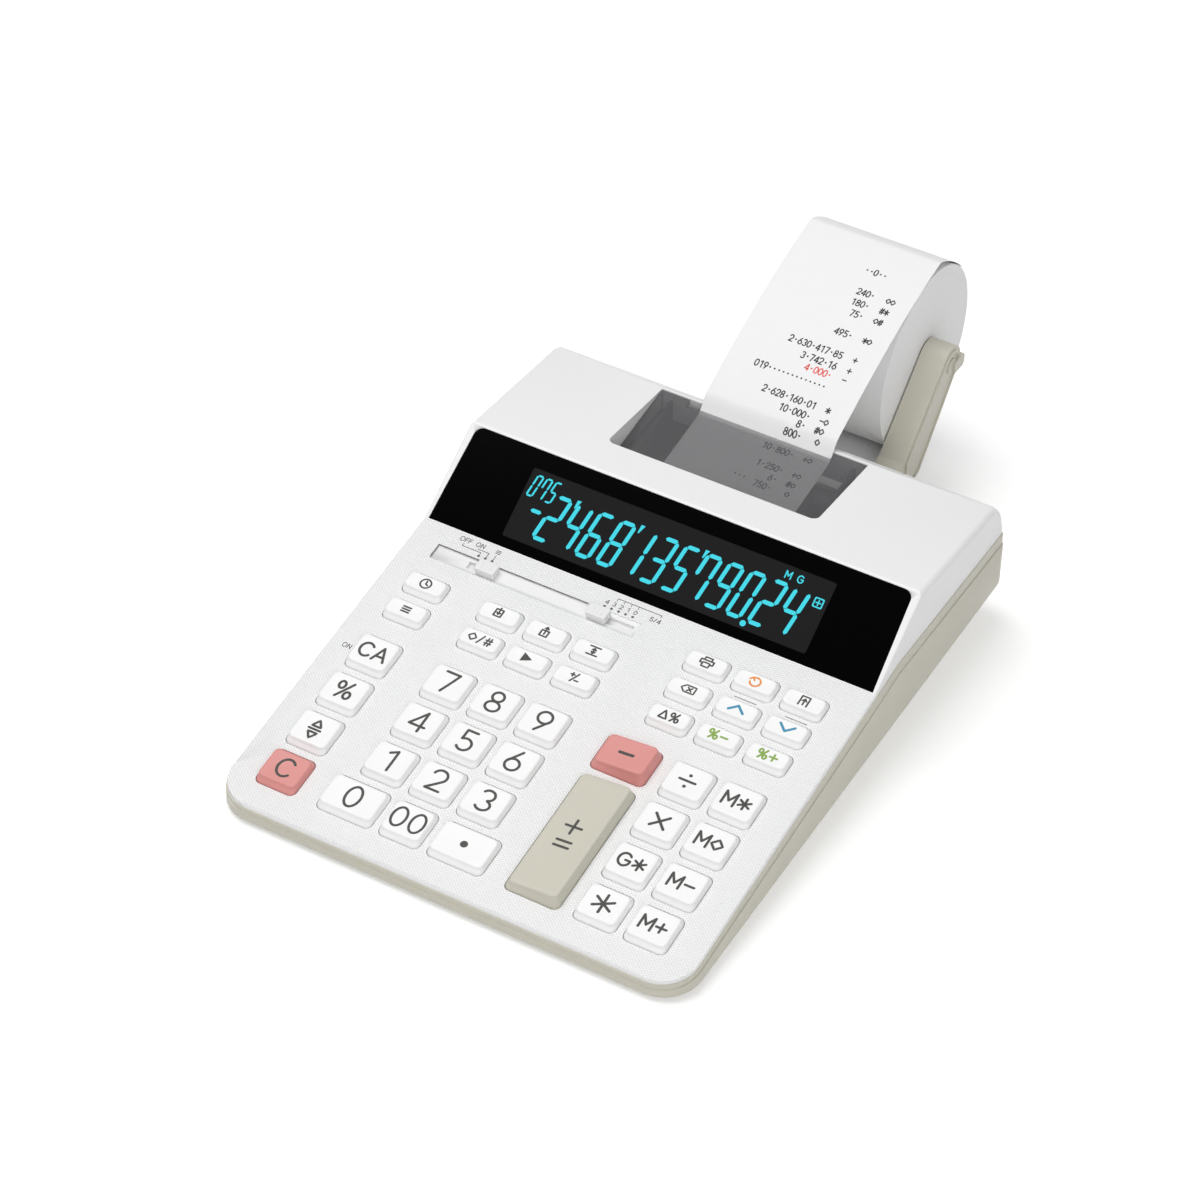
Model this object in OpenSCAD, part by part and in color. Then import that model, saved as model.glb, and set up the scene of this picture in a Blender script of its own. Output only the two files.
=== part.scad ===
/* [Casing] */
// Width of the casing over its sides
case_w = 195; // [191:1:215]
// Depth of the lower casing at its foot
case_d = 262; // [262:1:268]
// Radius of the front corners seen from above
front_r = 15; // [8:1:22]
// Radius of the rear corners seen from above
rear_r = 10; // [6:1:18]
// Wall thickness of both casing halves
wall = 2.2; // [1.8:0.1:2.8]
// Thickness of the keyboard deck
deck_t = 1.8; // [1.4:0.1:2.2]
// Height of the deck plane at the front edge
front_z = 7.1; // [7:0.1:9]
// Slope of the deck against the casing's base plane
deck_slope = 8; // [7:0.5:9]
// Angle by which the whole casing is pitched up at the rear
case_pitch = 4; // [3:0.5:5]
// Height of the casing's front edge over the table
lift = 2; // [1.8:0.1:3]
// How far the upper casing stands inside the lower one
upper_inset = 0.9; // [0.5:0.1:1.4]
// Slope of the undercut sides of the belly, sideways per height
belly_slope = 0.8; // [0.6:0.05:1]

/* [Display] */
// Distance of the display's lower edge from the front edge
panel_y = 147.3; // [146:0.5:149]
// Slope of the display against the base plane
panel_slope = 32.8; // [28:0.2:36]
// Length of the display face up its slope
panel_l = 42; // [40:0.5:44]
// Distance of the window's lower corners from the casing's sides
window_side = 2.6; // [2.2:0.1:5]
// Length of the window up its slope
window_l = 40.8; // [38:0.2:41]
// Radius of the window's upper corners
window_r = 3.6; // [2:0.2:5]
// Thickness of the window
window_t = 1; // [0.8:0.1:1.4]
// Width of the liquid crystal module
lcd_w = 132; // [120:1:140]
// Length of the liquid crystal module up the slope
lcd_l = 31; // [28:0.5:33]
// Thickness of the liquid crystal module
lcd_t = 4; // [3:0.5:5]

/* [Printer well] */
// Width of the opening in the hood
well_w = 90.2; // [88:0.2:94]
// Sideways place of the opening's middle
well_x = -1.8; // [-3:0.2:0]
// Front edge of the opening
well_y = 200.3; // [199:0.1:201]
// Rear edge of the smoked cover
cover_end_y = 243; // [242:0.1:243.2]
// Fall of the hood towards the rear
hood_fall = 6.3; // [5:0.1:7]
// Slope of the smoked cover
cover_slope = 8; // [7.5:0.1:8.5]
// Thickness of the smoked cover
cover_t = 1.5; // [1.2:0.1:1.7]
// Gap round the moving covers
cover_gap = 0.3; // [0.3:0.05:0.5]
// Radius of the cover's hinge pins
cover_pin_r = 1.2; // [1:0.1:1.3]

/* [Paper] */
// Width of the paper
paper_w = 57.2; // [56:0.1:57.6]
// Thickness that the paper is drawn with
paper_t = 0.3; // [0.2:0.05:0.35]
// Diameter of the full paper roll
roll_d = 77.2; // [50:0.2:78]
// Radius of the bore of the roll's core
core_r = 5.55; // [5:0.05:7]
// Radius of the platen roller
platen_r = 6.3; // [5.5:0.1:6.4]

/* [Paper holder] */
// Depth of the roll's axis from the front edge
hub_y = 323; // [320:0.5:326]
// Height of the roll's axis over the base plane
hub_z = 35.5; // [34:0.5:36]
// Thickness of an arm
arm_t = 11; // [8:0.5:12]
// Gap between the roll's ends and the arms
arm_gap = 0.5; // [0.4:0.1:1]
// Radius of an arm's upper end
arm_tip_r = 8.5; // [8.2:0.1:9.5]
// Depth of the holder's hinge from the front edge
pivot_y = 268.5; // [268.5:0.5:271]
// Height of the holder's hinge over the base plane
pivot_z = 3; // [2:0.5:3.5]
// Radius of the holder's hinge pins
pivot_r = 2.5; // [2:0.1:3]
// Thickness of the hinge ears on the casing
ear_t = 4.5; // [3:0.5:6]

/* [Keys] */
// Distance of the first key column from the casing's left side
margin_left = 11.8; // [11:0.1:13]
// Distance of the last key column from the casing's right side
margin_right = 13.4; // [12:0.1:14.5]
// Extra space between the first column and the number block
block_gap = 12.1; // [11:0.1:13]
// Space between neighbouring keys across
key_space = 3.4; // [2.8:0.1:4.4]
// Pitch of the main key rows
key_pitch_y = 20.3; // [20.1:0.1:20.6]
// Pitch of the small key rows
small_pitch_y = 14.1; // [13.9:0.1:14.3]
// Length of a main key
key_l = 16.9; // [15:0.1:17.2]
// Length of a small key
small_l = 10.4; // [9:0.1:10.8]
// How much wider than a key the wide keys are
wide_more = 6.1; // [4:0.1:6.4]
// How much wider than a key the plus and minus keys are
tall_more = 5.4; // [4:0.1:5.8]
// Height of a key over the deck
key_h = 2.7; // [2.4:0.1:3.4]
// Height of the plus and minus keys at their high side
tall_h = 5.2; // [4:0.1:6]
// Travel of a key
key_travel = 1.8; // [1.2:0.1:1.8]
// Gap between a key and its hole
key_gap = 0.3; // [0.2:0.05:0.4]
// Corner radius of a key
key_r = 2.4; // [1.5:0.1:3]
// How far the retaining flange stands out under the deck
flange = 0.8; // [0.5:0.1:0.9]

/* [Switches] */
// Rest place of the power switch from the casing's left side
power_side = 36.5; // [35.5:0.5:37.5]
// Travel of the power switch to its off end
power_travel = 6; // [4:1:7]
// Rest place of the decimal switch from the casing's left side
decimal_side = 84.7; // [83.5:0.2:85.5]
// Travel of the decimal switch to its last place
decimal_travel = 12; // [8:1:12]
// Distance of the switches from the front edge along the deck
switch_s = 135.9; // [135.5:0.1:136.2]
// Width of a switch knob
knob_w = 8.4; // [7:0.2:9]
// Length of a switch knob
knob_l = 5.6; // [5:0.2:6]
// Height of a switch knob over the deck
knob_h = 2.9; // [2:0.1:3.5]
// Width of the slot for a switch stem
slot_l = 3; // [2.4:0.1:3.4]

/* [Battery bay] */
// Radius of a cell
cell_r = 7.2; // [7:0.05:7.25]
// Length of a cell
cell_l = 50.2; // [48:0.1:50.5]
// Number of cells side by side
cells = 4; // [2:1:4]
// Distance of the battery bay's middle from the casing's left side
bay_side = 54.5; // [53.5:0.5:55.5]
// Front wall of the battery bay, inside
bay_y = 152; // [151:0.5:154]
// Thickness of the battery cover
hatch_t = 1.6; // [1.4:0.1:1.7]
// Travel of the battery cover before it lifts off
hatch_travel = 5; // [3:0.5:6]

/* [Fasteners and feet] */
// Radius of a screw's shank
screw_r = 1.5; // [1.2:0.1:1.8]
// Radius of a screw's head
head_r = 2.9; // [2.5:0.1:3.1]
// Radius of a rubber foot
foot_r = 6; // [4:0.5:7]
// How far a foot stands out of the belly
foot_h = 1.5; // [1.2:0.1:1.6]

/* [Hidden] */
$fn = 48;
eps = 0.01;
far = 400;
// clearances that fits share
run_gap = 0.05;
soft_gap = 0.3;

// --- side outline of the casing, in the casing's own plane (depth, height) ---
function deck_z(y) = front_z + y * tan(deck_slope);
function part_z(y) = deck_z(y) - deck_t / cos(deck_slope);
ridge_y = panel_y + panel_l * cos(panel_slope);
ridge_z = deck_z(panel_y) + panel_l * sin(panel_slope);
function hood_z(y) = ridge_z - (y - ridge_y) * tan(hood_fall);
hood_end_y = case_d - 13.3;
rear_top_y = case_d - 7.5;
rear_belt_y = case_d - 3;
belt_z = 17;
part_rear_z = 25;
part_peak_y = 165;
part_peak_z = 28.8;
rear_r_top = 4;
lip_y = upper_inset;
upper_profile = [
    [lip_y, part_z(lip_y)], [lip_y, deck_z(lip_y)], [panel_y, deck_z(panel_y)], [ridge_y, ridge_z],
    [hood_end_y - rear_r_top, hood_z(hood_end_y - rear_r_top)],
    [hood_end_y - rear_r_top / 3, hood_z(hood_end_y) - rear_r_top / 5],
    [hood_end_y + 0.6, hood_z(hood_end_y) - rear_r_top * 0.7],
    [rear_top_y, part_rear_z], [part_peak_y, part_peak_z], [panel_y, part_z(panel_y)]
];
lower_profile = [
    [0, 0], [case_d, 0], [rear_belt_y, belt_z], [rear_top_y, part_rear_z],
    [part_peak_y, part_peak_z], [panel_y, part_z(panel_y)], [0, part_z(0)]
];
// where two lines meet, each given by a point and a direction
function meet(p, d, q, e) = p + d * ((q.x - p.x) * e.y - (q.y - p.y) * e.x) / (d.x * e.y - d.y * e.x);
panel_dir = [cos(panel_slope), sin(panel_slope)];
hood_dir = [cos(hood_fall), -sin(hood_fall)];
rear_dir = [rear_top_y - hood_end_y, part_rear_z - hood_z(hood_end_y)];
panel_in = [panel_y, deck_z(panel_y)] + wall * [panel_dir.y, -panel_dir.x];
hood_in = [ridge_y, ridge_z] - wall * [0, 1 / hood_dir.x];
rear_in = [rear_top_y - wall * 1.1, part_rear_z];
hood_hollow = [
    meet(panel_in, panel_dir, [0, part_z(panel_y)], [1, 0]),
    meet(panel_in, panel_dir, hood_in, hood_dir),
    meet(hood_in, hood_dir, rear_in, rear_dir),
    rear_in, [rear_in.x, 0], [meet(panel_in, panel_dir, [0, part_z(panel_y)], [1, 0]).x, 0]
];
upper_w = case_w - 2 * upper_inset;
window_w = case_w - 2 * window_side;
belt_w = case_w - upper_inset;

// --- belly ---
belly_z = foot_h;
floor_t = 1.8;
floor_z = belly_z + floor_t;
belly_inset = 2;
belly_deep = 24;
belly_y = [3, case_d - 4];

// --- printer well and cover ---
well_x0 = well_x - well_w / 2;
well_x1 = well_x + well_w / 2;
well_wall = 1.6;
well_r = 3;
guide_y = cover_end_y + 0.6;
cover_end_z = hood_z(cover_end_y) - 0.2;
function cover_z(y) = cover_end_z - (cover_end_y - y) * tan(cover_slope);
cover_y = well_y + 1.1;
cover_pin_y = well_y + 2.7;
cover_pin_z = cover_z(cover_pin_y) - cover_t / 2;
cover_barrel_r = cover_pin_r + 0.3;
notch_deep = 3;
notch_x = [-34, 29];

// --- paper path: platen, exit and curl ---
platen_y = well_y + 8.7;
path_r = platen_r + soft_gap + paper_t / 2;
platen_z = cover_z(platen_y) - cover_t - path_r - 1.1;
inlet = [case_d - 6, 12.5];
exit_y = cover_end_y - notch_deep - 3;
exit_start = [exit_y, cover_z(exit_y) - cover_t - 0.9];
exit_end = [guide_y + 2.4, hood_z(guide_y + 2.4) + 4.4];
crest = [hub_y + 7.4, hub_z + roll_d / 2 + 2.9];
roll_r = roll_d / 2;
function on_circle(c, r, a) = c + r * [cos(a), sin(a)];
function heading(c, q) = atan2(q.y - c.y, q.x - c.x);
function tangent(c, r, q, side) = heading(c, q) + side * acos(r / norm(q - c));
function bezier(a, b, c, d, n) = [for (i = [0:n]) let (t = i / n, u = 1 - t)
    a * u * u * u + 3 * b * u * u * t + 3 * c * u * t * t + d * t * t * t];
platen = [platen_y, platen_z];
hub = [hub_y, hub_z];
pivot = [pivot_y, pivot_z];
wrap_from = tangent(platen, path_r, inlet, -1) + 360;
wrap_to = tangent(platen, path_r, exit_start, 1);
wrap_steps = 16;
tape_path = concat(
    [inlet],
    [for (i = [0:wrap_steps]) on_circle(platen, path_r, wrap_from + (wrap_to - wrap_from) * i / wrap_steps)],
    bezier(exit_start, exit_start + [5, 0.2], exit_end - [4.2, 3.9], exit_end, 8),
    [for (i = [1:12]) bezier(exit_end, exit_end + [16, 7.9], crest - [31, 5.4], crest, 12)[i]]
);
web_r = roll_r + soft_gap + paper_t / 2;
web_start = [case_d - 5, 13];
web_end = on_circle(hub, web_r, tangent(hub, web_r, web_start, 1));
web_over = on_circle(hub, web_r, tangent(hub, web_r, web_start, 1) + 12);

// a strip of even thickness along a path: left side out, right side back
function dir_at(p, i) = let (a = p[max(i - 1, 0)], b = p[min(i + 1, len(p) - 1)]) (b - a) / norm(b - a);
function strip(p, t) = concat(
    [for (i = [0:len(p) - 1]) p[i] + t / 2 * [-dir_at(p, i).y, dir_at(p, i).x]],
    [for (i = [len(p) - 1:-1:0]) p[i] - t / 2 * [-dir_at(p, i).y, dir_at(p, i).x]]
);

// --- holder ---
arm_in = paper_w / 2 + arm_gap;
arm_out = arm_in + arm_t;
hub_pin_r = core_r - run_gap;
hub_pin_l = 6;
arm_outline = [
    on_circle(hub, arm_tip_r, 140), [284.5, 12.4], [pivot_y + 2, pivot_z + 6.3], [pivot_y - 2.5, pivot_z - 5.5],
    [285, pivot_z - 11], [300, pivot_z - 6], on_circle(hub, arm_tip_r, -40)
];
pivot_boss_r = pivot_r + 3.6;

// --- overall frame: origin in the middle of the outline, on the table ---
function world(p) = [p.x * cos(case_pitch) - p.y * sin(case_pitch),
    p.x * sin(case_pitch) + p.y * cos(case_pitch) + lift];
rear_end = world(hub).x + roll_r;
front_end = world([0, part_z(0)]).x;
origin_y = (rear_end + front_end) / 2;

// --- keys: name, place across, place up the deck, width, length, height left, height right ---
// the columns fill the casing: eight pitches between its two margins, less one key's space
op_shift = 0.5;
key_pitch_x = (case_w - margin_left - margin_right - block_gap + op_shift + key_space) / 8;
key_w = key_pitch_x - key_space;
wide_w = key_w + wide_more;
tall_w = key_w + tall_more;
col_side = -case_w / 2 + margin_left + key_w / 2;
col_num = col_side + key_pitch_x + block_gap;
col_op = case_w / 2 - margin_right - key_w / 2 - key_pitch_x;
tall_back = 2.2;
col_tall = col_op - key_pitch_x + key_w / 2 - tall_back - tall_w / 2;
row_first = 20;
row_small = 104.1;
function row(i) = row_first + i * key_pitch_y;
function small_row(i) = row_small + i * small_pitch_y;
function num_x(i) = col_num + i * key_pitch_x;
function op_x(i) = col_op + (i - 1) * key_pitch_x;
wide_shift = (wide_w - key_w) / 2;
function main_key(name, x, s) = [name, x, s, key_w, key_l, key_h, key_h];
function small_key(name, x, s) = [name, x, s, key_w, small_l, key_h, key_h];
KEYS = concat(
    [for (i = [0:2]) for (j = [0:2]) main_key(str("key_", 1 + j + 3 * i), num_x(j), row(i + 1))],
    [
        ["key_0", num_x(0) - wide_shift, row(0), wide_w, key_l, key_h, key_h],
        main_key("key_00", num_x(1), row(0)),
        ["key_point", num_x(2) + wide_shift, row(0), wide_w, key_l, key_h, key_h],
        ["key_plus_equals", col_tall, (row(0) + row(2)) / 2, tall_w, 2 * key_pitch_y + key_l, key_h, tall_h],
        ["key_minus", col_tall, row(3), tall_w, key_l, key_h, tall_h],
        main_key("key_clear", col_side, row(0)),
        main_key("key_markup", col_side, row(1)),
        main_key("key_percent", col_side, row(2)),
        main_key("key_clear_all", col_side, row(3)),
        small_key("key_subtotal", col_side, small_row(0)),
        small_key("key_time", col_side, small_row(1)),
        small_key("key_mark", num_x(0), small_row(0)),
        small_key("key_backspace", num_x(1), small_row(0)),
        small_key("key_sign", num_x(2), small_row(0)),
        small_key("key_cost", num_x(0), small_row(1)),
        small_key("key_sell", num_x(1), small_row(1)),
        small_key("key_margin", num_x(2), small_row(1)),
        small_key("key_delta", op_x(0), small_row(0)),
        small_key("key_tax_minus", op_x(1), small_row(0)),
        small_key("key_tax_plus", op_x(2), small_row(0)),
        small_key("key_correct", op_x(0), small_row(1)),
        small_key("key_up", op_x(1), small_row(1)),
        small_key("key_down", op_x(2), small_row(1)),
        small_key("key_print", op_x(0), small_row(2)),
        small_key("key_reprint", op_x(1), small_row(2)),
        small_key("key_feed", op_x(2), small_row(2)),
        main_key("key_total", op_x(1), row(0)),
        main_key("key_grand_total", op_x(1), row(1)),
        main_key("key_multiply", op_x(1), row(2)),
        main_key("key_divide", op_x(1), row(3)),
        main_key("key_memory_plus", op_x(2), row(0)),
        main_key("key_memory_minus", op_x(2), row(1)),
        main_key("key_memory_subtotal", op_x(2), row(2)),
        main_key("key_memory_total", op_x(2), row(3))
    ]
);
PINK_KEYS = ["key_clear", "key_minus"];
key_low = -deck_t - 1.2;
sheet_z = key_low - key_travel - 0.1;
sheet_t = 0.8;
board_t = 1.4;
board_z = sheet_z - sheet_t - board_t;
board_s = [11, 142];
board_side = 9.5;
board_w = case_w - 2 * board_side;
post_side = 18;
post_x = 14;

// --- screws: place across, depth, height of the joint between the two bosses ---
SCREWS = [for (sx = [-1, 1]) for (p = [[17.5, 148, 17], [23.5, 229, 10]])
    [sx * (case_w / 2 - p[0]), p[1], p[2]]];
boss_r = head_r + 2.1;
pillar_r = screw_r + 2.4;
head_t = 2;
shoulder = 6;
bite = 7;
FEET = [for (sx = [-1, 1]) for (p = [[13.5, 14], [25.5, 246]]) [sx * (case_w / 2 - p[0]), p[1]]];
foot_sunk = 0.6;

// --- battery bay ---
bay_x = -case_w / 2 + bay_side;
cell_pitch = 2 * cell_r + 0.4;
bay_w = cells * cell_pitch + 1;
bay_l = cell_l + 4;
bay_wall = 1.6;
bay_top = floor_z + 2 * cell_r + 0.7;
tongue_w = 0.9;
tongue_z = belly_z + 0.7;
tongue_t = 0.8;
thumb_l = hatch_travel + 0.6;

power_x = -case_w / 2 + power_side;
decimal_x = -case_w / 2 + decimal_side;

// ---------- frames ----------
// the table frame: the casing's front edge is moved so that the origin lies in the middle
module on_table() translate([0, -origin_y, 0]) children();
// the casing frame: pitched up at the rear and lifted
module in_case() on_table() translate([0, 0, lift]) rotate([case_pitch, 0, 0]) children();
// a place on the keyboard deck, height along the deck's normal
module on_deck(x, s) translate([x, s * cos(deck_slope), front_z + s * sin(deck_slope)])
    rotate([deck_slope, 0, 0]) children();
// the display face, from the middle of its lower edge
module on_panel() translate([0, panel_y, deck_z(panel_y)]) rotate([panel_slope, 0, 0]) children();

// ---------- shared shapes ----------
// a side outline (depth, height) carried across the width
module across(points, w, x = 0) translate([x, 0, 0]) rotate([90, 0, 90])
    linear_extrude(w, center = true) polygon(points);
// a round bar across the width
module bar(p, r, x0, x1) translate([x0, p.x, p.y]) rotate([0, 90, 0]) cylinder(h = x1 - x0, r = r);
// a rectangle with round corners, round its own middle
module round_rect(w, l, r) {
    square([w - 2 * r, l], center = true);
    square([w, l - 2 * r], center = true);
    for (i = [-1, 1]) for (j = [-1, 1]) translate([i * (w / 2 - r), j * (l / 2 - r)]) circle(r);
}
// the casing seen from above, with its four corner radii
module plan(w, y0, y1, rf, rr) {
    translate([-w / 2, y0 + rf]) square([w, y1 - y0 - rf - rr]);
    translate([-w / 2 + rf, y0]) square([w - 2 * rf, rf + eps]);
    translate([-w / 2 + rr, y1 - rr - eps]) square([w - 2 * rr, rr + eps]);
    for (i = [-1, 1]) {
        translate([i * (w / 2 - rf), y0 + rf]) circle(rf);
        translate([i * (w / 2 - rr), y1 - rr]) circle(rr);
    }
}
// the part of a side outline that lies inside the plan
module shell_block(points, w, inset) intersection() {
    across(points, w + 1);
    translate([0, 0, -far / 8]) linear_extrude(far / 2)
        plan(w, inset, case_d - inset, front_r - inset, rear_r - inset);
}
// everything above a height over the table, in the casing frame
module above_table(z) rotate([-case_pitch, 0, 0]) translate([-far / 2, -far / 4, z - lift])
    cube([far, far * 1.4, far / 2]);
// the undercut belly: inset is taken off its sides
module belly(inset, z) intersection() {
    translate([0, belly_y[1] - inset, 0]) rotate([90, 0, 0]) linear_extrude(belly_y[1] - belly_y[0] - 2 * inset)
        polygon([for (q = [[1, 0], [1, 1], [-1, 1], [-1, 0]])
            [q.x * (case_w / 2 - belly_inset - inset - (1 - q.y) * belly_slope * belly_deep),
             q.y * (belly_deep + 2) - belly_deep]]);
    translate([0, 0, -far / 8]) linear_extrude(far / 2) plan(case_w - 2 * belly_inset - 2 * inset,
        belly_y[0] + inset, belly_y[1] - inset, front_r - belly_inset - inset, rear_r - belly_inset - inset);
    above_table(z);
}

// ---------- upper casing ----------
module key_holes() for (k = KEYS) on_deck(k[1], k[2]) translate([0, 0, -deck_t - 1])
    linear_extrude(deck_t + 3) round_rect(k[3] + 2 * key_gap, k[4] + 2 * key_gap, key_r + key_gap);
module switch_channel() {
    x0 = power_x - power_travel - 17.5;
    x1 = decimal_x + decimal_travel + 4.6;
    on_deck((x0 + x1) / 2, switch_s) translate([0, 0, -0.5 + 1])
        cube([x1 - x0, knob_l + 1.9, 2], center = true);
    for (p = [[power_x - power_travel, power_x], [decimal_x, decimal_x + decimal_travel]])
        on_deck((p[0] + p[1]) / 2, switch_s)
            cube([p[1] - p[0] + knob_w / 2 + 1, slot_l + 0.4, 9], center = true);
}
module window_face(grow, h0, h1) on_panel() translate([0, 0, h0]) linear_extrude(h1 - h0) {
    low = window_w / 2 + grow;
    top = low - 1.6;
    v1 = window_l + grow;
    polygon([[-low, 0.4 - grow], [low, 0.4 - grow], [top, v1 - window_r], [-top, v1 - window_r]]);
    translate([-top + window_r, 0.4]) square([2 * top - 2 * window_r, v1 - 0.4]);
    for (i = [-1, 1]) translate([i * (top - window_r), v1 - window_r]) circle(window_r);
}
module lcd_box(grow, h0, h1) on_panel() translate([-lcd_w / 2 - grow, window_l / 2 - lcd_l / 2 - grow - 1.6, h0])
    cube([lcd_w + 2 * grow, lcd_l + 2 * grow, h1 - h0]);
module well_plan(grow) translate([well_x, 0]) {
    w = well_w + 2 * grow;
    r = well_r + grow;
    y0 = well_y - grow;
    translate([-w / 2, y0 + r]) square([w, guide_y - y0 - r]);
    translate([-w / 2 + r, y0]) square([w - 2 * r, r + eps]);
    for (i = [-1, 1]) translate([i * (w / 2 - r), y0 + r]) circle(r);
}
module well_walls() intersection() {
    union() {
        translate([0, 0, cover_pin_z - 3.4]) linear_extrude(far / 4) difference() {
            well_plan(well_wall);
            translate([0, well_y - well_wall - eps]) translate([-far / 2, 0]) square([far, well_wall + 3]);
        }
        translate([0, 0, cover_pin_z - 0.4]) linear_extrude(far / 4) well_plan(well_wall);
    }
    across(upper_profile, case_w);
}
module rear_wall() across([
    [guide_y, part_peak_z + 1.2], [guide_y, hood_z(guide_y)], [guide_y + well_wall, hood_z(guide_y + well_wall)],
    [guide_y + well_wall, part_peak_z + 1.2]
], well_w - 1, well_x);
module pillars() for (p = SCREWS) intersection() {
    translate([p[0], p[1], p[2]]) cylinder(h = far / 4, r = pillar_r);
    union() {
        across(upper_profile, upper_w - 1);
        translate([-far / 2, 0, 0]) cube([far, panel_y + 3, part_z(p[1] - 5) + 1]);
        translate([-far / 2, panel_y + 3, 0]) cube([far, far, part_peak_z]);
    }
}
module upper_case() color("whitesmoke") in_case() difference() {
    union() {
        difference() {
            shell_block(upper_profile, upper_w, upper_inset);
            across(hood_hollow, upper_w - 2 * wall);
            translate([0, 0, 0]) linear_extrude(far / 4) well_plan(0);
        }
        difference() {
            well_walls();
            translate([0, 0, 0]) linear_extrude(far / 4) well_plan(0);
        }
        rear_wall();
        pillars();
    }
    key_holes();
    switch_channel();
    window_face(0.15, -window_t, 4);
    lcd_box(0.3, -wall - 3, 1);
    bar([cover_pin_y, cover_pin_z], cover_pin_r + run_gap, well_x0 - well_wall - 1, well_x1 + well_wall + 1);
    for (p = SCREWS) translate([p[0], p[1], p[2] - 1]) cylinder(h = bite + 2, r = screw_r + run_gap);
}

// ---------- lower casing ----------
module hollow() intersection() {
    union() {
        shell_cut = wall + 0.2;
        intersection() {
            across([[shell_cut, floor_t], [case_d - shell_cut - 0.3, floor_t],
                [rear_belt_y - shell_cut, belt_z], [rear_top_y - shell_cut - 0.2, part_rear_z + 1],
                [rear_top_y - shell_cut - 0.2, far / 4], [shell_cut, far / 4]], case_w);
            translate([0, 0, -far / 8]) linear_extrude(far / 2)
                plan(upper_w - 2 * wall, shell_cut, case_d - shell_cut, front_r - shell_cut, rear_r - shell_cut);
        }
        belly(wall + 0.2, floor_z);
    }
    above_table(floor_z);
}
module board_posts() intersection() {
    for (x = [-board_w / 2 + post_side, -post_x, post_x, board_w / 2 - post_side - 2])
        for (s = [row(0) + row(1), row(2) + row(3), small_row(0) + small_row(1)]) on_deck(x, s / 2)
            translate([0, 0, -far / 8]) cylinder(h = far / 8, r = 2);
    on_deck(0, 0) translate([-far / 2, 0, board_z - far]) cube([far, far, far]);
    above_table(floor_z - 0.5);
}
module printer_ribs() intersection() {
    for (x = [frame_x[0] + 6.5, frame_x[1] - 6]) translate([x - 1, frame_y + 2, -far / 8])
        cube([2, frame_l - 4, far / 8 + frame_z]);
    above_table(floor_z - 0.5);
}
module ears() for (i = [-1, 1]) {
    x0 = i > 0 ? arm_out + arm_gap : -arm_out - arm_gap - ear_t;
    difference() {
        union() {
            bar(pivot, pivot_boss_r, x0, x0 + ear_t);
            across([[case_d - 5.5, pivot_z - 6], [case_d - 5.5, pivot_z + 8], [pivot_y, pivot_z + pivot_boss_r],
                [pivot_y, pivot_z - pivot_boss_r]], ear_t, x0 + ear_t / 2);
        }
        bar(pivot, pivot_r + run_gap, x0 - 1, x0 + ear_t + 1);
    }
}
module bay_walls() intersection() {
    rotate([-case_pitch, 0, 0]) translate([bay_x - bay_w / 2 - bay_wall, bay_y - bay_wall, belly_z - lift])
        cube([bay_w + 2 * bay_wall, bay_l + 2 * bay_wall, bay_top + bay_wall - belly_z]);
    above_table(belly_z);
}
module thumb_block() rotate([-case_pitch, 0, 0])
    translate([bay_x - bay_w / 2 - bay_wall, bay_y + bay_l, belly_z - lift])
        cube([bay_w + 2 * bay_wall, thumb_l + bay_wall, hatch_t + 0.2 + bay_wall]);
module bay_hollow() rotate([-case_pitch, 0, 0]) translate([0, 0, -lift]) {
    translate([bay_x - bay_w / 2, bay_y, -5]) cube([bay_w, bay_l, bay_top + 5]);
    translate([bay_x - bay_w / 2, bay_y + bay_l - eps, -5]) cube([bay_w, thumb_l, 5 + belly_z + hatch_t + 0.2]);
    translate([bay_x - bay_w / 2 - tongue_w - 0.3, bay_y + 4, tongue_z - 0.1])
        cube([bay_w + 2 * tongue_w + 0.6, bay_l - 8 + hatch_travel, tongue_t + 0.2]);
}
module bosses() intersection() {
    for (p = SCREWS) translate([p[0], p[1], -40]) cylinder(h = 40 + p[2], r = boss_r);
    above_table(belly_z + 0.5);
}
jack_side = 35.5;
jack_x = case_w / 2 - jack_side;
jack_z = 8;
jack_r = 3.8;
jack_wall = 0.75;
jack_pin_r = 1;
jack_box = 9;
jack_l = 9.5;
module jack_seat() intersection() {
    translate([jack_x - jack_box / 2 + 0.5, case_d - 15, -far / 8])
        cube([jack_box - 1, jack_l - 1.5, far / 8 + jack_z - jack_box / 2]);
    above_table(floor_z - 0.5);
}
slot_z = 9;
slot_h = 10;
module lower_case() color("darkkhaki") in_case() difference() {
    union() {
        difference() {
            union() {
                shell_block([for (p = lower_profile) p], belt_w, upper_inset / 2);
                shell_block([for (p = lower_profile) [p.x, min(p.y, max(p.y - 5, 0.6 * p.y))]], case_w, 0);
                belly(0, belly_z);
            }
            hollow();
        }
        board_posts();
        printer_ribs();
        ears();
        bay_walls();
        thumb_block();
        jack_seat();
        bosses();
    }
    bay_hollow();
    translate([-arm_in - 2, case_d - 14, slot_z]) cube([2 * arm_in + 4, 20, slot_h]);
    translate([jack_x, case_d - 12, jack_z]) rotate([-90, 0, 0]) cylinder(h = 20, r = jack_r);
    for (p = SCREWS) translate([p[0], p[1], 0]) {
        translate([0, 0, -far / 8]) cylinder(h = far / 8 + p[2] - shoulder, r = head_r + 0.3);
        cylinder(h = far / 4, r = screw_r + 0.1);
    }
    rotate([-case_pitch, 0, 0]) for (p = FEET) translate([p[0], p[1], -lift - 1])
        cylinder(h = 1 + belly_z + foot_sunk, r = foot_r + 0.1);
}

// ---------- display ----------
module display_window() color("black") in_case() window_face(0, -window_t, 0);
module lcd_module() color("darkslategray") in_case() lcd_box(0, -window_t - lcd_t, -window_t);

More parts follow.
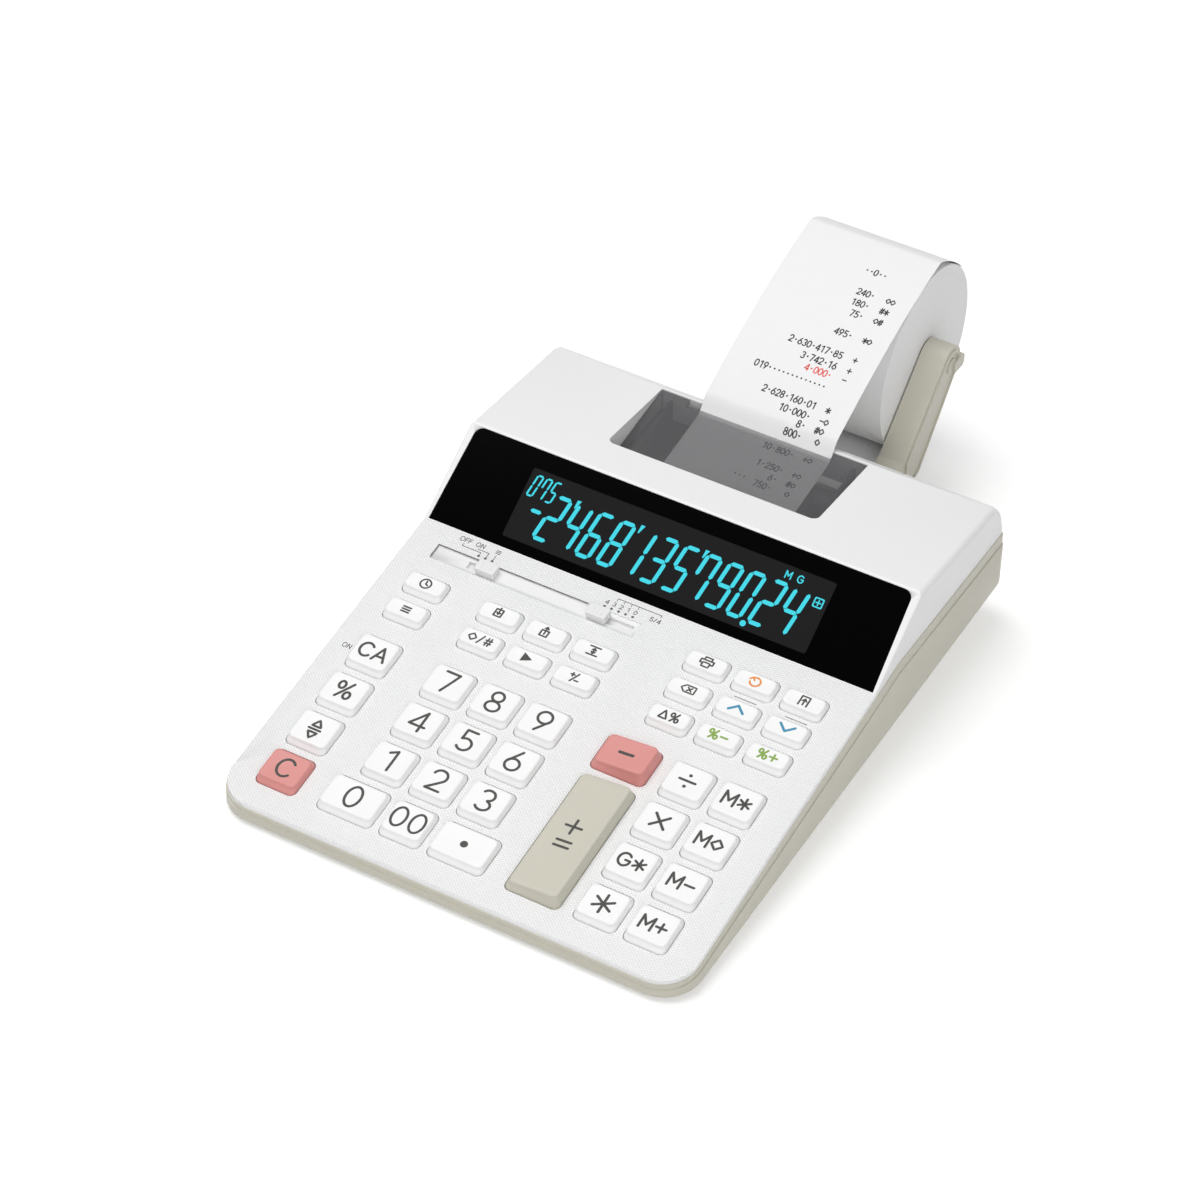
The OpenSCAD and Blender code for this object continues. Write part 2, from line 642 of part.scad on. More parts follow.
// ---------- printer ----------
frame_z = 8;
frame_side = 4.4;
frame_x = [well_x0 + frame_side, well_x1 - frame_side + 0.1];
frame_y = well_y - 10.3;
frame_l = 50;
plate_t = 1.5;
drum = [platen_y - 13.9, platen_z - 0.8];
drum_r = 5.8;
ink = drum + [-6.2, 8.2];
ink_r = 4;
motor = [platen_y + 21, platen_z - 1.5];
motor_r = 6.5;
gear_r = 7;
module frame_plate(x) difference() {
    front = frame_y - 3;
    step = well_y + 2.7;
    across([[front, frame_z], [cover_end_y - 1, frame_z],
        [cover_end_y - 1, cover_z(cover_end_y - 1) - cover_t - 1.2], [step, cover_z(step) - cover_t - 1.4],
        [step - 5.5, cover_z(step) - cover_t - 1.4], [step - 6, ridge_z - 10.5], [front, ridge_z - 10.5]],
        plate_t, x + plate_t / 2);
    bar(platen, 2 + run_gap, x - 1, x + plate_t + 1);
}
module printer_frame() color("dimgray") in_case() {
    frame_plate(frame_x[0]);
    frame_plate(frame_x[1] - plate_t);
    translate([frame_x[0] + plate_t, frame_y, frame_z])
        cube([frame_x[1] - frame_x[0] - 2 * plate_t, frame_l, plate_t]);
    bar(drum, drum_r, frame_x[0] + plate_t, frame_x[1] - plate_t);
    bar(ink, ink_r, frame_x[0] + plate_t, frame_x[1] - plate_t);
    bar(motor, motor_r, frame_x[0] + 12.5, frame_x[1] - plate_t);
}
module platen_roller() color("silver") in_case() {
    bar(platen, platen_r, -arm_in - 0.8, arm_in + 0.8);
    bar(platen, 2, frame_x[0] - 1, frame_x[1] + 1);
    difference() {
        bar(platen, gear_r, frame_x[0] + plate_t + 1, frame_x[0] + plate_t + 4);
        for (i = [0:19]) translate([0, platen_y, platen_z]) rotate([18 * i, 0, 0])
            translate([frame_x[0] + plate_t, gear_r - 0.9, -0.5]) cube([6, 2, 1]);
    }
}
module printer_cover() color("slategray") in_case() difference() {
    union() {
        intersection() {
            across([[cover_y, cover_z(cover_y) - cover_t], [cover_y, cover_z(cover_y)],
                [cover_end_y, cover_z(cover_end_y)], [cover_end_y, cover_z(cover_end_y) - cover_t]],
                well_w - 2 * cover_gap, well_x);
            linear_extrude(far / 4) well_plan(-cover_gap);
        }
        bar([cover_pin_y, cover_pin_z], cover_barrel_r, well_x0 + well_r, well_x1 - well_r);
        bar([cover_pin_y, cover_pin_z], cover_pin_r, well_x0 - well_wall + 0.2, well_x1 + well_wall - 0.2);
    }
    translate([notch_x[0], cover_end_y - notch_deep, 0]) cube([notch_x[1] - notch_x[0], 10, 90]);
}

// ---------- paper ----------
module paper_tape() color("white") in_case() across(strip(tape_path, paper_t), paper_w);
module paper_feed() color("white") in_case()
    across(strip([web_start, web_end, web_over], paper_t), paper_w);
module paper_roll() color("ivory") in_case() difference() {
    bar(hub, roll_r, -paper_w / 2, paper_w / 2);
    bar(hub, core_r, -paper_w, paper_w);
}
module paper_holder() color("tan") in_case() {
    for (i = [-1, 1]) {
        x0 = i > 0 ? arm_in : -arm_out;
        across(arm_outline, arm_t, x0 + arm_t / 2);
        bar(hub, arm_tip_r, x0, x0 + arm_t);
        bar(pivot, pivot_boss_r, x0, x0 + arm_t);
        bar(hub, hub_pin_r, i > 0 ? arm_in - hub_pin_l : -arm_in - 1, i > 0 ? arm_in + 1 : -arm_in + hub_pin_l);
    }
    bar(pivot, pivot_r, -arm_out - arm_gap - ear_t, arm_out + arm_gap + ear_t);
}

// ---------- switches ----------
module knob(x, travel) color("gainsboro") in_case() on_deck(x, switch_s) {
    translate([0, 0, -0.5]) linear_extrude(knob_h + 0.5) round_rect(knob_w, knob_l, 0.8);
    translate([-knob_w / 4, -slot_l / 2, -deck_t - 1.2]) cube([knob_w / 2, slot_l, deck_t + 1]);
    translate([-knob_w / 2 + 0.6, -knob_l / 2, -deck_t - 1.8]) cube([knob_w - 1.2, knob_l, 1.8 - 0.02]);
    shutter = travel + knob_w / 4 + 0.8;
    translate([-shutter, -slot_l / 2 - 0.8, -deck_t - 0.62]) cube([2 * shutter, slot_l + 1.6, 0.6]);
}
module power_switch() knob(power_x, power_travel);
module decimal_switch() knob(decimal_x, decimal_travel);

// ---------- keys ----------
module key_cap(w, l, hl, hr) {
    hm = max(hl, hr);
    intersection() {
        translate([0, 0, -deck_t - eps]) linear_extrude(hm + deck_t + 1) round_rect(w, l, key_r);
        across([[-l / 2, -9], [l / 2, -9], [l / 2, 0], [l / 2 - 0.48 * hm, hm], [-l / 2 + 0.62 * hm, hm], [-l / 2, 0]],
            w + 1);
        rotate([90, 0, 0]) linear_extrude(l + 1, center = true)
            polygon([[-w / 2, -9], [w / 2, -9], [w / 2, 0], [w / 2 - 0.15 * hr, hr], [-w / 2 + 0.15 * hl, hl],
                [-w / 2, 0]]);
    }
    translate([0, 0, -deck_t - 1]) linear_extrude(1) round_rect(w + 2 * flange, l + 2 * flange, key_r + flange);
}
module key(k) color(len(search([k[0]], PINK_KEYS)[0] == [] ? [] : [1]) == 0 ? "white" : "lightcoral")
    in_case() on_deck(k[1], k[2]) {
        difference() {
            key_cap(k[3], k[4], k[5], k[6]);
            translate([0, 0, -deck_t - 2]) linear_extrude(deck_t + 2 + key_h - 1.4)
                round_rect(k[3] - 2.6, k[4] - 2.6, key_r - 1.2);
        }
        translate([0, 0, key_low]) cylinder(h = key_h - 1 - key_low, r = 2);
    }

// ---------- electronics ----------
module keypad_circuit() color("seagreen") in_case() {
    on_deck(0, 0) {
        translate([-board_w / 2, board_s[0], board_z]) cube([board_w, board_s[1] - board_s[0], board_t]);
        translate([-board_w / 2 + 1, board_s[0] + 1, board_z + board_t])
            cube([board_w - 2, board_s[1] - board_s[0] - 2, sheet_t]);
    }
    translate([jack_x, case_d - 16, jack_z]) difference() {
        union() {
            translate([-jack_box / 2, 0, -jack_box / 2]) cube([jack_box, jack_l, jack_box]);
            rotate([-90, 0, 0]) cylinder(h = jack_l + 4.5, r = jack_r - 0.2);
        }
        translate([0, 3, 0]) rotate([-90, 0, 0]) cylinder(h = 20, r = jack_r - 0.2 - jack_wall);
    }
    translate([jack_x, case_d - 13.5, jack_z]) rotate([-90, 0, 0]) cylinder(h = 9, r = jack_pin_r);
}

// ---------- battery bay ----------
module battery_cells() color("steelblue") on_table() {
    for (i = [0:cells - 1]) {
        x = bay_x + (i - (cells - 1) / 2) * cell_pitch;
        translate([x, bay_y, bay_top - cell_r - soft_gap]) rotate([-90, 0, 0]) {
            translate([0, 0, 3.2]) cylinder(h = cell_l, r = cell_r);
            cylinder(h = 4, r = 2.6);
        }
    }
    translate([bay_x - bay_w / 2 + 0.5, bay_y + 3.2 + cell_l, floor_z + 1.5])
        cube([bay_w - 1, bay_l - cell_l - 3.2, bay_top - floor_z - 3]);
}
module battery_cover() color("darkkhaki") on_table() {
    translate([bay_x - bay_w / 2 + cover_gap, bay_y + cover_gap, belly_z])
        cube([bay_w - 2 * cover_gap, bay_l - 2 * cover_gap, hatch_t]);
    translate([bay_x - bay_w / 2 - tongue_w, bay_y + 4.3, tongue_z])
        cube([bay_w + 2 * tongue_w, bay_l - 8.6, tongue_t]);
}

// ---------- feet and screws ----------
module feet_and_screws() color("gray") {
    in_case() for (p = SCREWS) translate([p[0], p[1], p[2] - shoulder]) {
        translate([0, 0, -head_t]) cylinder(h = head_t, r = head_r);
        cylinder(h = shoulder + bite, r = screw_r);
    }
    on_table() for (p = FEET) translate([p[0], p[1], 0]) cylinder(h = foot_h + foot_sunk, r = foot_r);
}

upper_case();
lower_case();
display_window();
lcd_module();
printer_cover();
printer_frame();
platen_roller();
paper_holder();
paper_roll();
paper_tape();
paper_feed();
power_switch();
decimal_switch();
keypad_circuit();
battery_cells();
battery_cover();
feet_and_screws();
for (k = KEYS) key(k);
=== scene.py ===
# %% [markdown]
# # A printing desk calculator
#
# The solid model gives every piece its size, its place and its motion. This lesson dresses it:
# soft edges on the mouldings, dished keys with printed legends, a dark display with lit digits,
# a smoked cover over the printer and a printed paper strip that curls over its roll.
# Each cell makes one piece or one finish and prints what it made.

import math

import bmesh
import bpy
import numpy as np
from mathutils import Matrix


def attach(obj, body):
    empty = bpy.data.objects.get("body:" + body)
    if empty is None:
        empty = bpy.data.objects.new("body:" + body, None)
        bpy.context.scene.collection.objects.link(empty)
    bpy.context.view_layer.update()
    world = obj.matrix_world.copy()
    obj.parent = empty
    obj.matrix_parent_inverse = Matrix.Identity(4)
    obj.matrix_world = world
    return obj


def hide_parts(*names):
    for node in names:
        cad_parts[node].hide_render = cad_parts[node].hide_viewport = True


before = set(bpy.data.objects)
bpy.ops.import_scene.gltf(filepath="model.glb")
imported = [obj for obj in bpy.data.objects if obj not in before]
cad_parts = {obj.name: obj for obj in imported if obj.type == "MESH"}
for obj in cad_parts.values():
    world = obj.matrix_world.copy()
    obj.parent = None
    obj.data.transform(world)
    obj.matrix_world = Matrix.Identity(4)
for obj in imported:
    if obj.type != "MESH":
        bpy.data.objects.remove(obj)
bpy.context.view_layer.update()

# %% [markdown]
# ## One set of places
#
# A maker draws the casing flat, with x across, y to the rear and z up from its lower edge, in millimetres.
# The real casing stands pitched up at the rear on its feet. One function turns a drawn place into its
# place on the table, so every other cell can think in the casing's own millimetres.

# %% The casing's frame and its sloped faces
MM = 0.001
PITCH = math.radians(4)
LIFT = 2.0
DECK_SLOPE = math.radians(8)
PANEL_SLOPE = math.radians(32.8)
HOOD_FALL = math.radians(6.3)
COVER_SLOPE = math.radians(8)
FRONT_Z = 7.1
DECK_T = 1.8
PANEL_Y = 147.3
PANEL_L = 42.0
HUB = np.array([323.0, 35.5])
ROLL_R = 38.6
PAPER_W = 57.2


def added(name, data):
    """A new object of the data, put into the scene."""
    thing = bpy.data.objects.new(name, data)
    bpy.context.scene.collection.objects.link(thing)
    return thing


def pitched(y, z):
    """Depth and height turned by the pitch and lifted: y cos p - z sin p, y sin p + z cos p + lift."""
    return (y * math.cos(PITCH) - z * math.sin(PITCH), y * math.sin(PITCH) + z * math.cos(PITCH) + LIFT)


FRONT_END = pitched(0.0, FRONT_Z - DECK_T / math.cos(DECK_SLOPE))[0]
ORIGIN_Y = (pitched(*HUB)[0] + ROLL_R + FRONT_END) / 2


def table(points):
    """Casing millimetres to metres on the table: pitch, lift, then the origin in the outline's middle."""
    p = np.asarray(points, float)
    y, z = pitched(p[..., 1], p[..., 2])
    return np.stack([p[..., 0], y - ORIGIN_Y, z], axis=-1) * MM


def casing(points):
    """Metres on the table back to casing millimetres: the inverse of table()."""
    p = np.asarray(points, float) / MM
    y, z = p[..., 1] + ORIGIN_Y, p[..., 2] - LIFT
    c, s = math.cos(PITCH), math.sin(PITCH)
    return np.stack([p[..., 0], y * c + z * s, z * c - y * s], axis=-1)


def deck_z(y):
    """Height of the keyboard deck at a depth: a straight slope from the front edge."""
    return FRONT_Z + y * math.tan(DECK_SLOPE)


def on_slope(x, along, up, start, slope):
    """A place on a sloped face: start plus along times the slope's direction plus up times its normal."""
    x, along, up = np.broadcast_arrays(x, along, up)
    y = start[0] + along * math.cos(slope) - up * math.sin(slope)
    z = start[1] + along * math.sin(slope) + up * math.cos(slope)
    return table(np.stack([x, y, z], axis=-1))


def deck(x, s, h):
    """x across, s up the keyboard deck, h off it."""
    return on_slope(x, s, h, (0.0, FRONT_Z), DECK_SLOPE)


def panel(x, v, h):
    """x across, v up the display face, h off it."""
    return on_slope(x, v, h, (PANEL_Y, deck_z(PANEL_Y)), PANEL_SLOPE)


RIDGE = (PANEL_Y + PANEL_L * math.cos(PANEL_SLOPE), deck_z(PANEL_Y) + PANEL_L * math.sin(PANEL_SLOPE))


def hood_z(y):
    """Height of the hood's top at a depth: it falls gently from the ridge to the rear."""
    return RIDGE[1] - (y - RIDGE[0]) * math.tan(HOOD_FALL)


print("origin", round(ORIGIN_Y, 3), "mm behind the front edge, ridge at", [round(v, 2) for v in RIDGE])

# %% [markdown]
# ## The camera
#
# The view is from the right front, about forty degrees up, with a long lens, so edges stay nearly parallel.
# Its place and axes are written in the casing's frame and turned by the same pitch as every piece.

# %% Camera
AZIMUTH, ELEVATION, ROLL = math.radians(29.37), math.radians(42.55), math.radians(0.75)
EYE = (514.1, -800.5, 1019.1)
SENSOR, FOCAL = 36.0, 117.8
forward = np.array([-math.sin(AZIMUTH) * math.cos(ELEVATION), math.cos(AZIMUTH) * math.cos(ELEVATION),
                    -math.sin(ELEVATION)])
level = np.array([math.cos(AZIMUTH), math.sin(AZIMUTH), 0.0])
upward = np.cross(level, forward)
right = level * math.cos(ROLL) + upward * math.sin(ROLL)
up = upward * math.cos(ROLL) - level * math.sin(ROLL)
tilt = np.array([[1, 0, 0], [0, math.cos(PITCH), -math.sin(PITCH)], [0, math.sin(PITCH), math.cos(PITCH)]])
axes = tilt @ np.stack([right, up, -forward], axis=1)
lens = bpy.data.cameras.new("view")
lens.sensor_fit = "HORIZONTAL"
lens.sensor_width, lens.lens = SENSOR, FOCAL
lens.clip_start, lens.clip_end = 0.05, 20.0
camera = added("view", lens)
camera.matrix_world = Matrix.Translation(table(EYE)) @ Matrix(axes.tolist()).to_4x4()
bpy.context.scene.camera = camera
bpy.context.scene.view_settings.view_transform = "Standard"
print("camera at", [round(v, 3) for v in table(EYE)])

# %% [markdown]
# ## Floor, world and lamps
#
# A white product picture needs a white surround and lamps that are no brighter than the colours can bear.
# The world looks white to the camera and to mirrors, but lights the object more softly than that.
# One large lamp hangs above, a little to the left, and a weaker one stands at the right front, so the keys'
# right faces fall into half shade.
#
# Every finish is a small graph of shader nodes. One class adds the nodes, so that a finish reads as a formula;
# g is always the graph that is being made.


# %% Shader graphs
class Graph:
    """The shader nodes of a material or a world; an input takes a value or another node's output."""

    def __init__(self, owner, end="Principled BSDF"):
        """Starts from the owner's own last shader."""
        owner.use_nodes = True
        self.owner, self.tree = owner, owner.node_tree
        self.end = self.tree.nodes[end]

    def wire(self, node, inputs):
        """Sets or links each input, given by number or by name."""
        for key, value in inputs.items():
            socket = node.inputs[key]
            if isinstance(value, bpy.types.NodeSocket):
                self.tree.links.new(value, socket)
            else:
                socket.default_value = value

    def add(self, kind, inputs, out=0, **settings):
        """Adds a node with its settings and inputs, and gives one of its outputs."""
        node = self.tree.nodes.new("ShaderNode" + kind)
        for key, value in settings.items():
            setattr(node, key, value)
        self.wire(node, inputs)
        return node.outputs[out]

    def calc(self, operation, a, b=0.0):
        """The operation on two values."""
        return self.add("Math", {0: a, 1: b}, operation=operation)

    def finish(self, **inputs):
        """Wires the last shader, whose input names are written with _ for a space, and gives the owner."""
        self.wire(self.end, {key.replace("_", " "): value for key, value in inputs.items()})
        return self.owner


def material_graph(name):
    """The graph of a new material."""
    return Graph(bpy.data.materials.new(name))


def seen_ray(g):
    """1 for rays from the camera, and for what mirrors and clear covers show of the surround."""
    value = g.add("LightPath", {}, "Is Camera Ray")
    for kind in ("Is Transmission Ray", "Is Glossy Ray"):
        value = g.calc("MAXIMUM", value, g.add("LightPath", {}, kind))
    return value


print("shader graphs ready")

# %% Floor and world
FLOOR_HALF = 6
FLOOR_GLOW = 0.30
WORLD_LIGHT = 0.37
g = material_graph("floor_white")
floor_mat = g.finish(Base_Color=(0.90, 0.90, 0.90, 1), Roughness=0.9, Specular_IOR_Level=0.0,
                     Emission_Color=(1, 1, 1, 1), Emission_Strength=g.calc("MULTIPLY", seen_ray(g), FLOOR_GLOW))
floor_mesh = bpy.data.meshes.new("floor")
floor_mesh.from_pydata([(x * FLOOR_HALF, y * FLOOR_HALF, 0) for x, y in ((-1, -1), (1, -1), (1, 1), (-1, 1))],
                       [], [(0, 1, 2, 3)])
floor = added("floor", floor_mesh)
floor_mesh.materials.append(floor_mat)

world = bpy.data.worlds.new("studio")
bpy.context.scene.world = world
g = Graph(world, "Background")
light = g.add("MapRange", {"Value": seen_ray(g), "To Min": WORLD_LIGHT, "To Max": 1.0})
g.finish(Color=(1, 1, 1, 1), Strength=light)
print("floor and world are white")


# %% Lamps
def softbox(name, place, aim, size, power):
    """A square lamp at a place in metres, turned to look at the aim."""
    data = bpy.data.lights.new(name, "AREA")
    data.shape, data.size, data.energy = "SQUARE", size, power
    lamp = added(name, data)
    back = np.array(place, float) - np.array(aim, float)
    back /= np.linalg.norm(back)
    side = np.cross((0.0, 0.0, 1.0), back)
    side /= np.linalg.norm(side)
    turn = Matrix(np.stack([side, np.cross(back, side), back], axis=1).tolist()).to_4x4()
    lamp.matrix_world = Matrix.Translation(place) @ turn


MIDDLE = (0, 0, 0.03)
softbox("lamp_above", (-0.7, -0.1, 2.35), MIDDLE, 1.6, 31.5)
softbox("lamp_front", (1.2, -1.6, 1.3), MIDDLE, 1.4, 16)

# %% [markdown]
# ## Finishes
#
# Moulded plastic is never a flat colour: the tool leaves a fine spark texture, and the gloss varies a little.
# Both come from noise in object coordinates, so that they stay with the piece when it moves.


# %% Moulded plastic
SATIN = 0.35


def object_place(g):
    """The piece's own metres."""
    return g.add("TexCoord", {}, "Object")


def object_noise(g, scale):
    """Noise over the piece's own metres; scale is the number of grains a metre."""
    return g.add("TexNoise", {"Vector": object_place(g), "Scale": scale, "Detail": 3.0, "Roughness": 0.6}, "Fac")


def spread(g, value, low, high):
    """Maps a noise value, mostly 0.3 to 0.7, on to low to high."""
    return g.add("MapRange", {"Value": value, "From Min": 0.3, "From Max": 0.7, "To Min": low, "To Max": high})


def blend(g, share, low, high):
    """A mix of two colours, each three numbers or another node's colour."""
    low, high = (c if isinstance(c, bpy.types.NodeSocket) else (*c, 1) for c in (low, high))
    return g.add("Mix", {0: share, 6: low, 7: high}, 2, data_type="RGBA")


def shaded(g, value, colour, depth):
    """The colour, darkened by up to depth where the noise is low."""
    return blend(g, value, [c * (1 - depth) for c in colour], colour)


def bumped(g, height, depth_mm, **before):
    """A bump of that height in millimetres; Normal= puts it on top of an earlier bump."""
    return g.add("Bump", {"Distance": depth_mm * MM, "Strength": 1.0, "Height": height, **before})


def moulded(name, colour, rough=(0.36, 0.46), spark_mm=0.012, depth=0.03):
    """Satin plastic: spark texture as a bump, gloss between two values and a faint drift of shade."""
    g = material_graph(name)
    return g.finish(Base_Color=shaded(g, object_noise(g, 26), colour, depth), Specular_IOR_Level=SATIN,
                    Roughness=spread(g, object_noise(g, 90), *rough),
                    Normal=bumped(g, object_noise(g, 1600), spark_mm))


WHITE = (0.86, 0.86, 0.865)
greige = moulded("greige_moulding", (0.60, 0.58, 0.495))
greige_key = moulded("greige_key", (0.60, 0.58, 0.49), spark_mm=0.006)
white_key = moulded("white_key", (0.93, 0.93, 0.93), spark_mm=0.004, depth=0.02)
pink_key = moulded("pink_key", (0.72, 0.29, 0.27), spark_mm=0.005)
knob_white = moulded("knob_white", (0.82, 0.82, 0.82), spark_mm=0.004)
dark_part = moulded("dark_mechanism", (0.035, 0.035, 0.037), rough=(0.3, 0.5))
cell_sleeve = moulded("cell_sleeve", (0.10, 0.14, 0.22), rough=(0.2, 0.3))
board_green = moulded("board_green", (0.03, 0.16, 0.07), rough=(0.25, 0.4))
foot_rubber = moulded("foot_rubber", (0.20, 0.20, 0.19), rough=(0.6, 0.8), spark_mm=0.03)
print("plastics made")

# %% [markdown]
# ## The knurled deck
#
# Only the keyboard deck is knurled, with fine crossed ridges; the hood and the switch channel are smooth.
# The pattern is two crossed waves in the deck's own plane. It shows only within a hair of that plane,
# so the one moulding keeps one material and the channel, half a millimetre lower, stays smooth.
# The ridges' colour is painted light and shade: painted shade in the grooves and painted light on the crests, which
# also leaves the deck painted a little brighter than the hood.


# %% White casing with a knurled deck
KNURL_PITCH, KNURL_DEPTH, KNURL_END = 0.95, 0.10, 148.4
# The knurl's two shares of the white: painted shade in the grooves and painted light on the crests, on average a
# little over the white.
KNURL_PAINTED_SHADE, KNURL_PAINTED_LIGHT = 0.90, 1.11
CLOSE = 0.15


def ridges(g, coordinates, direction):
    """A wave across the deck: sine of 2 pi times the distance along the direction over the pitch."""
    turns = [d * 2 * math.pi / (KNURL_PITCH * MM) for d in direction]
    return g.calc("SINE", g.add("VectorMath", {0: coordinates, 1: turns}, "Value", operation="DOT_PRODUCT"))


def knurled_white():
    """Satin white whose deck carries crossed ridges about 1 mm apart, masked to the deck's plane; their colour is
    painted shade in the grooves and painted light on the crests.
    """
    g = material_graph("white_casing")
    where = g.add("Mapping", {"Vector": object_place(g), "Location": table((0.0, 0.0, FRONT_Z)),
                              "Rotation": (PITCH + DECK_SLOPE, 0, 0)}, vector_type="TEXTURE")
    off = g.calc("ABSOLUTE", g.add("SeparateXYZ", {0: where}, "Z"))
    near = g.calc("LESS_THAN", off, CLOSE * MM)
    mask = g.calc("MULTIPLY", near, g.calc("LESS_THAN", g.add("SeparateXYZ", {0: where}, "Y"), KNURL_END * MM))
    cross = g.calc("MAXIMUM", ridges(g, where, (0.62, 0.78, 0)), ridges(g, where, (-0.62, 0.78, 0)))
    cut = g.calc("MULTIPLY", cross, mask)
    share = g.calc("ADD", g.calc("MULTIPLY", cut, 0.5), 0.5)
    # painted shade and light: the grooves darker and the crests lighter than the white, so on the whole the deck is
    # painted a little brighter than the hood
    shade = blend(g, share, [c * KNURL_PAINTED_SHADE for c in WHITE], [c * KNURL_PAINTED_LIGHT for c in WHITE])
    spark = bumped(g, object_noise(g, 1500), 0.006)
    return g.finish(Base_Color=blend(g, mask, WHITE, shade), Specular_IOR_Level=SATIN,
                    Roughness=spread(g, object_noise(g, 90), 0.34, 0.42),
                    Normal=bumped(g, cut, KNURL_DEPTH, Normal=spark))


white_casing = knurled_white()
print("knurled white made")


# %% Gloss, print and paper
def plain(name, colour, rough, **sockets):
    """A thin even layer, such as print or gloss: one colour and one roughness, set on the sockets."""
    g = material_graph(name)
    return g.finish(Base_Color=(*colour, 1), Roughness=rough, Normal=bumped(g, object_noise(g, 60), 0.01), **sockets)


gloss_black = plain("display_gloss", (0.0008, 0.0008, 0.0008), 0.12, Specular_IOR_Level=0.012)
lcd_glass = plain("lcd_glass", (0.0155, 0.0155, 0.0165), 0.2, Specular_IOR_Level=0.012)
lcd_light = plain("lcd_light", (0.005, 0.06, 0.07), 0.4, Emission_Color=(0.06, 0.73, 0.86, 1),
                  Emission_Strength=0.87, Specular_IOR_Level=0.1)
legend_dark = plain("legend_dark", (0.033, 0.033, 0.028), 0.55)
legend_orange = plain("legend_orange", (0.80, 0.26, 0.04), 0.55)
legend_green = plain("legend_green", (0.22, 0.36, 0.05), 0.55)
legend_blue = plain("legend_blue", (0.03, 0.26, 0.42), 0.55)
deck_print = plain("deck_print", (0.09, 0.09, 0.085), 0.55)
ink_black = plain("ink_black", (0.03, 0.03, 0.035), 0.7)
ink_red = plain("ink_red", (0.75, 0.10, 0.09), 0.7)
smoked = plain("smoked_cover", (0.155, 0.150, 0.157), 0.14, Alpha=0.41, Specular_IOR_Level=0.25)


def matt(g, colour, normal):
    """Paper: rough, and with next to no shine."""
    return g.finish(Base_Color=colour, Normal=normal, Roughness=0.85, Specular_IOR_Level=0.2)


def paper_sheet():
    """White paper: a faint fibre bump and a slight drift between two whites."""
    g = material_graph("paper_white")
    return matt(g, shaded(g, object_noise(g, 240), (0.90, 0.90, 0.905), 0.02),
                bumped(g, object_noise(g, 900), 0.01))


def wound_paper():
    """Paper on a roll: on its ends the edges of the turns make fine rings round the hub."""
    g = material_graph("paper_wound")
    to_hub = g.add("Mapping", {"Vector": object_place(g), "Location": -table((0.0, *HUB)), "Scale": (0, 1, 1)},
                   vector_type="POINT")
    radius = g.add("VectorMath", {0: to_hub}, "Value", operation="LENGTH")
    turns = g.add("TexNoise", {"W": radius, "Scale": 900.0, "Detail": 4.0}, "Fac", noise_dimensions="1D")
    return matt(g, shaded(g, turns, (0.93, 0.93, 0.935), 0.06), bumped(g, turns, 0.05))


paper_white, paper_wound = paper_sheet(), wound_paper()
card = moulded("core_card", (0.42, 0.30, 0.19), rough=(0.7, 0.9), spark_mm=0.04)
print("finishes made:", len(bpy.data.materials))

# %% [markdown]
# ## Tools for surfaces
#
# Most pieces are a ring of points carried through several places: a loft. Prints are flat strokes
# of one width with round ends, given a hair of thickness. Both are worked out as whole arrays.


# %% Lofts, prisms and strokes
def new_piece(name, verts, faces, material, body, smooth=35):
    """Puts vertices in metres and faces into an object that rides on a body."""
    mesh = bpy.data.meshes.new(name)
    mesh.from_pydata(np.asarray(verts, float).reshape(-1, 3).tolist(), [], faces)
    mesh.validate()
    mesh.materials.append(material)
    piece = added(name, mesh)
    if smooth:
        mesh.shade_smooth()
        mesh.set_sharp_from_angle(angle=math.radians(smooth))
    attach(piece, body)
    return piece


def loft_faces(rings, points, closed=False):
    """Quads between neighbouring rings; a closed loft joins the last ring to the first, others get end caps."""
    i, j = np.meshgrid(np.arange(rings if closed else rings - 1), np.arange(points), indexing="ij")
    ni, nj = (i + 1) % rings, (j + 1) % points
    quads = np.stack([i * points + j, i * points + nj, ni * points + nj, ni * points + j], axis=-1)
    faces = quads.reshape(-1, 4).tolist()
    if not closed:
        faces.append(np.arange(points)[::-1].tolist())
        faces.append((np.arange(points) + (rings - 1) * points).tolist())
    return faces


def round_rect(w, l, r, per_corner=6, across=1, along=1):
    """Corner circles of radius r joined by straight sides, anticlockwise; the sides take that many steps."""
    r = min(r, w / 2 - 1e-4, l / 2 - 1e-4)
    turn = np.radians(np.linspace(0, 90, per_corner + 1))
    quarter = np.stack([np.cos(turn), np.sin(turn)], axis=1) * r
    corners = [((w / 2 - r, l / 2 - r), 0), ((-w / 2 + r, l / 2 - r), 90),
               ((-w / 2 + r, -l / 2 + r), 180), ((w / 2 - r, -l / 2 + r), 270)]
    parts = []
    for centre, degrees in corners:
        c, s = math.cos(math.radians(degrees)), math.sin(math.radians(degrees))
        parts.append(quarter @ np.array([[c, s], [-s, c]]) + centre)
    ring = []
    for k, part in enumerate(parts):
        n = (across, along)[k % 2]
        start, end = part[-1], parts[(k + 1) % 4][0]
        ring += [part, start + (end - start) * (np.arange(1, n) / n)[:, None]]
    return np.concatenate(ring)


def stroke(points, width, closed=False):
    """A path to be drawn with a width; thick() turns it into a ribbon."""
    return ("path", np.asarray(points, float), width, closed)


def spaced(p, step, closed):
    """The same path with points no further apart than step, and its corners kept."""
    q = np.concatenate([p, p[:1]]) if closed else p
    parts = []
    for a, b in zip(q[:-1], q[1:]):
        n = max(1, int(math.ceil(np.linalg.norm(b - a) / step)))
        parts.append(a + (b - a) * np.arange(n)[:, None] / n)
    return np.concatenate(parts + ([] if closed else [q[-1:]]))


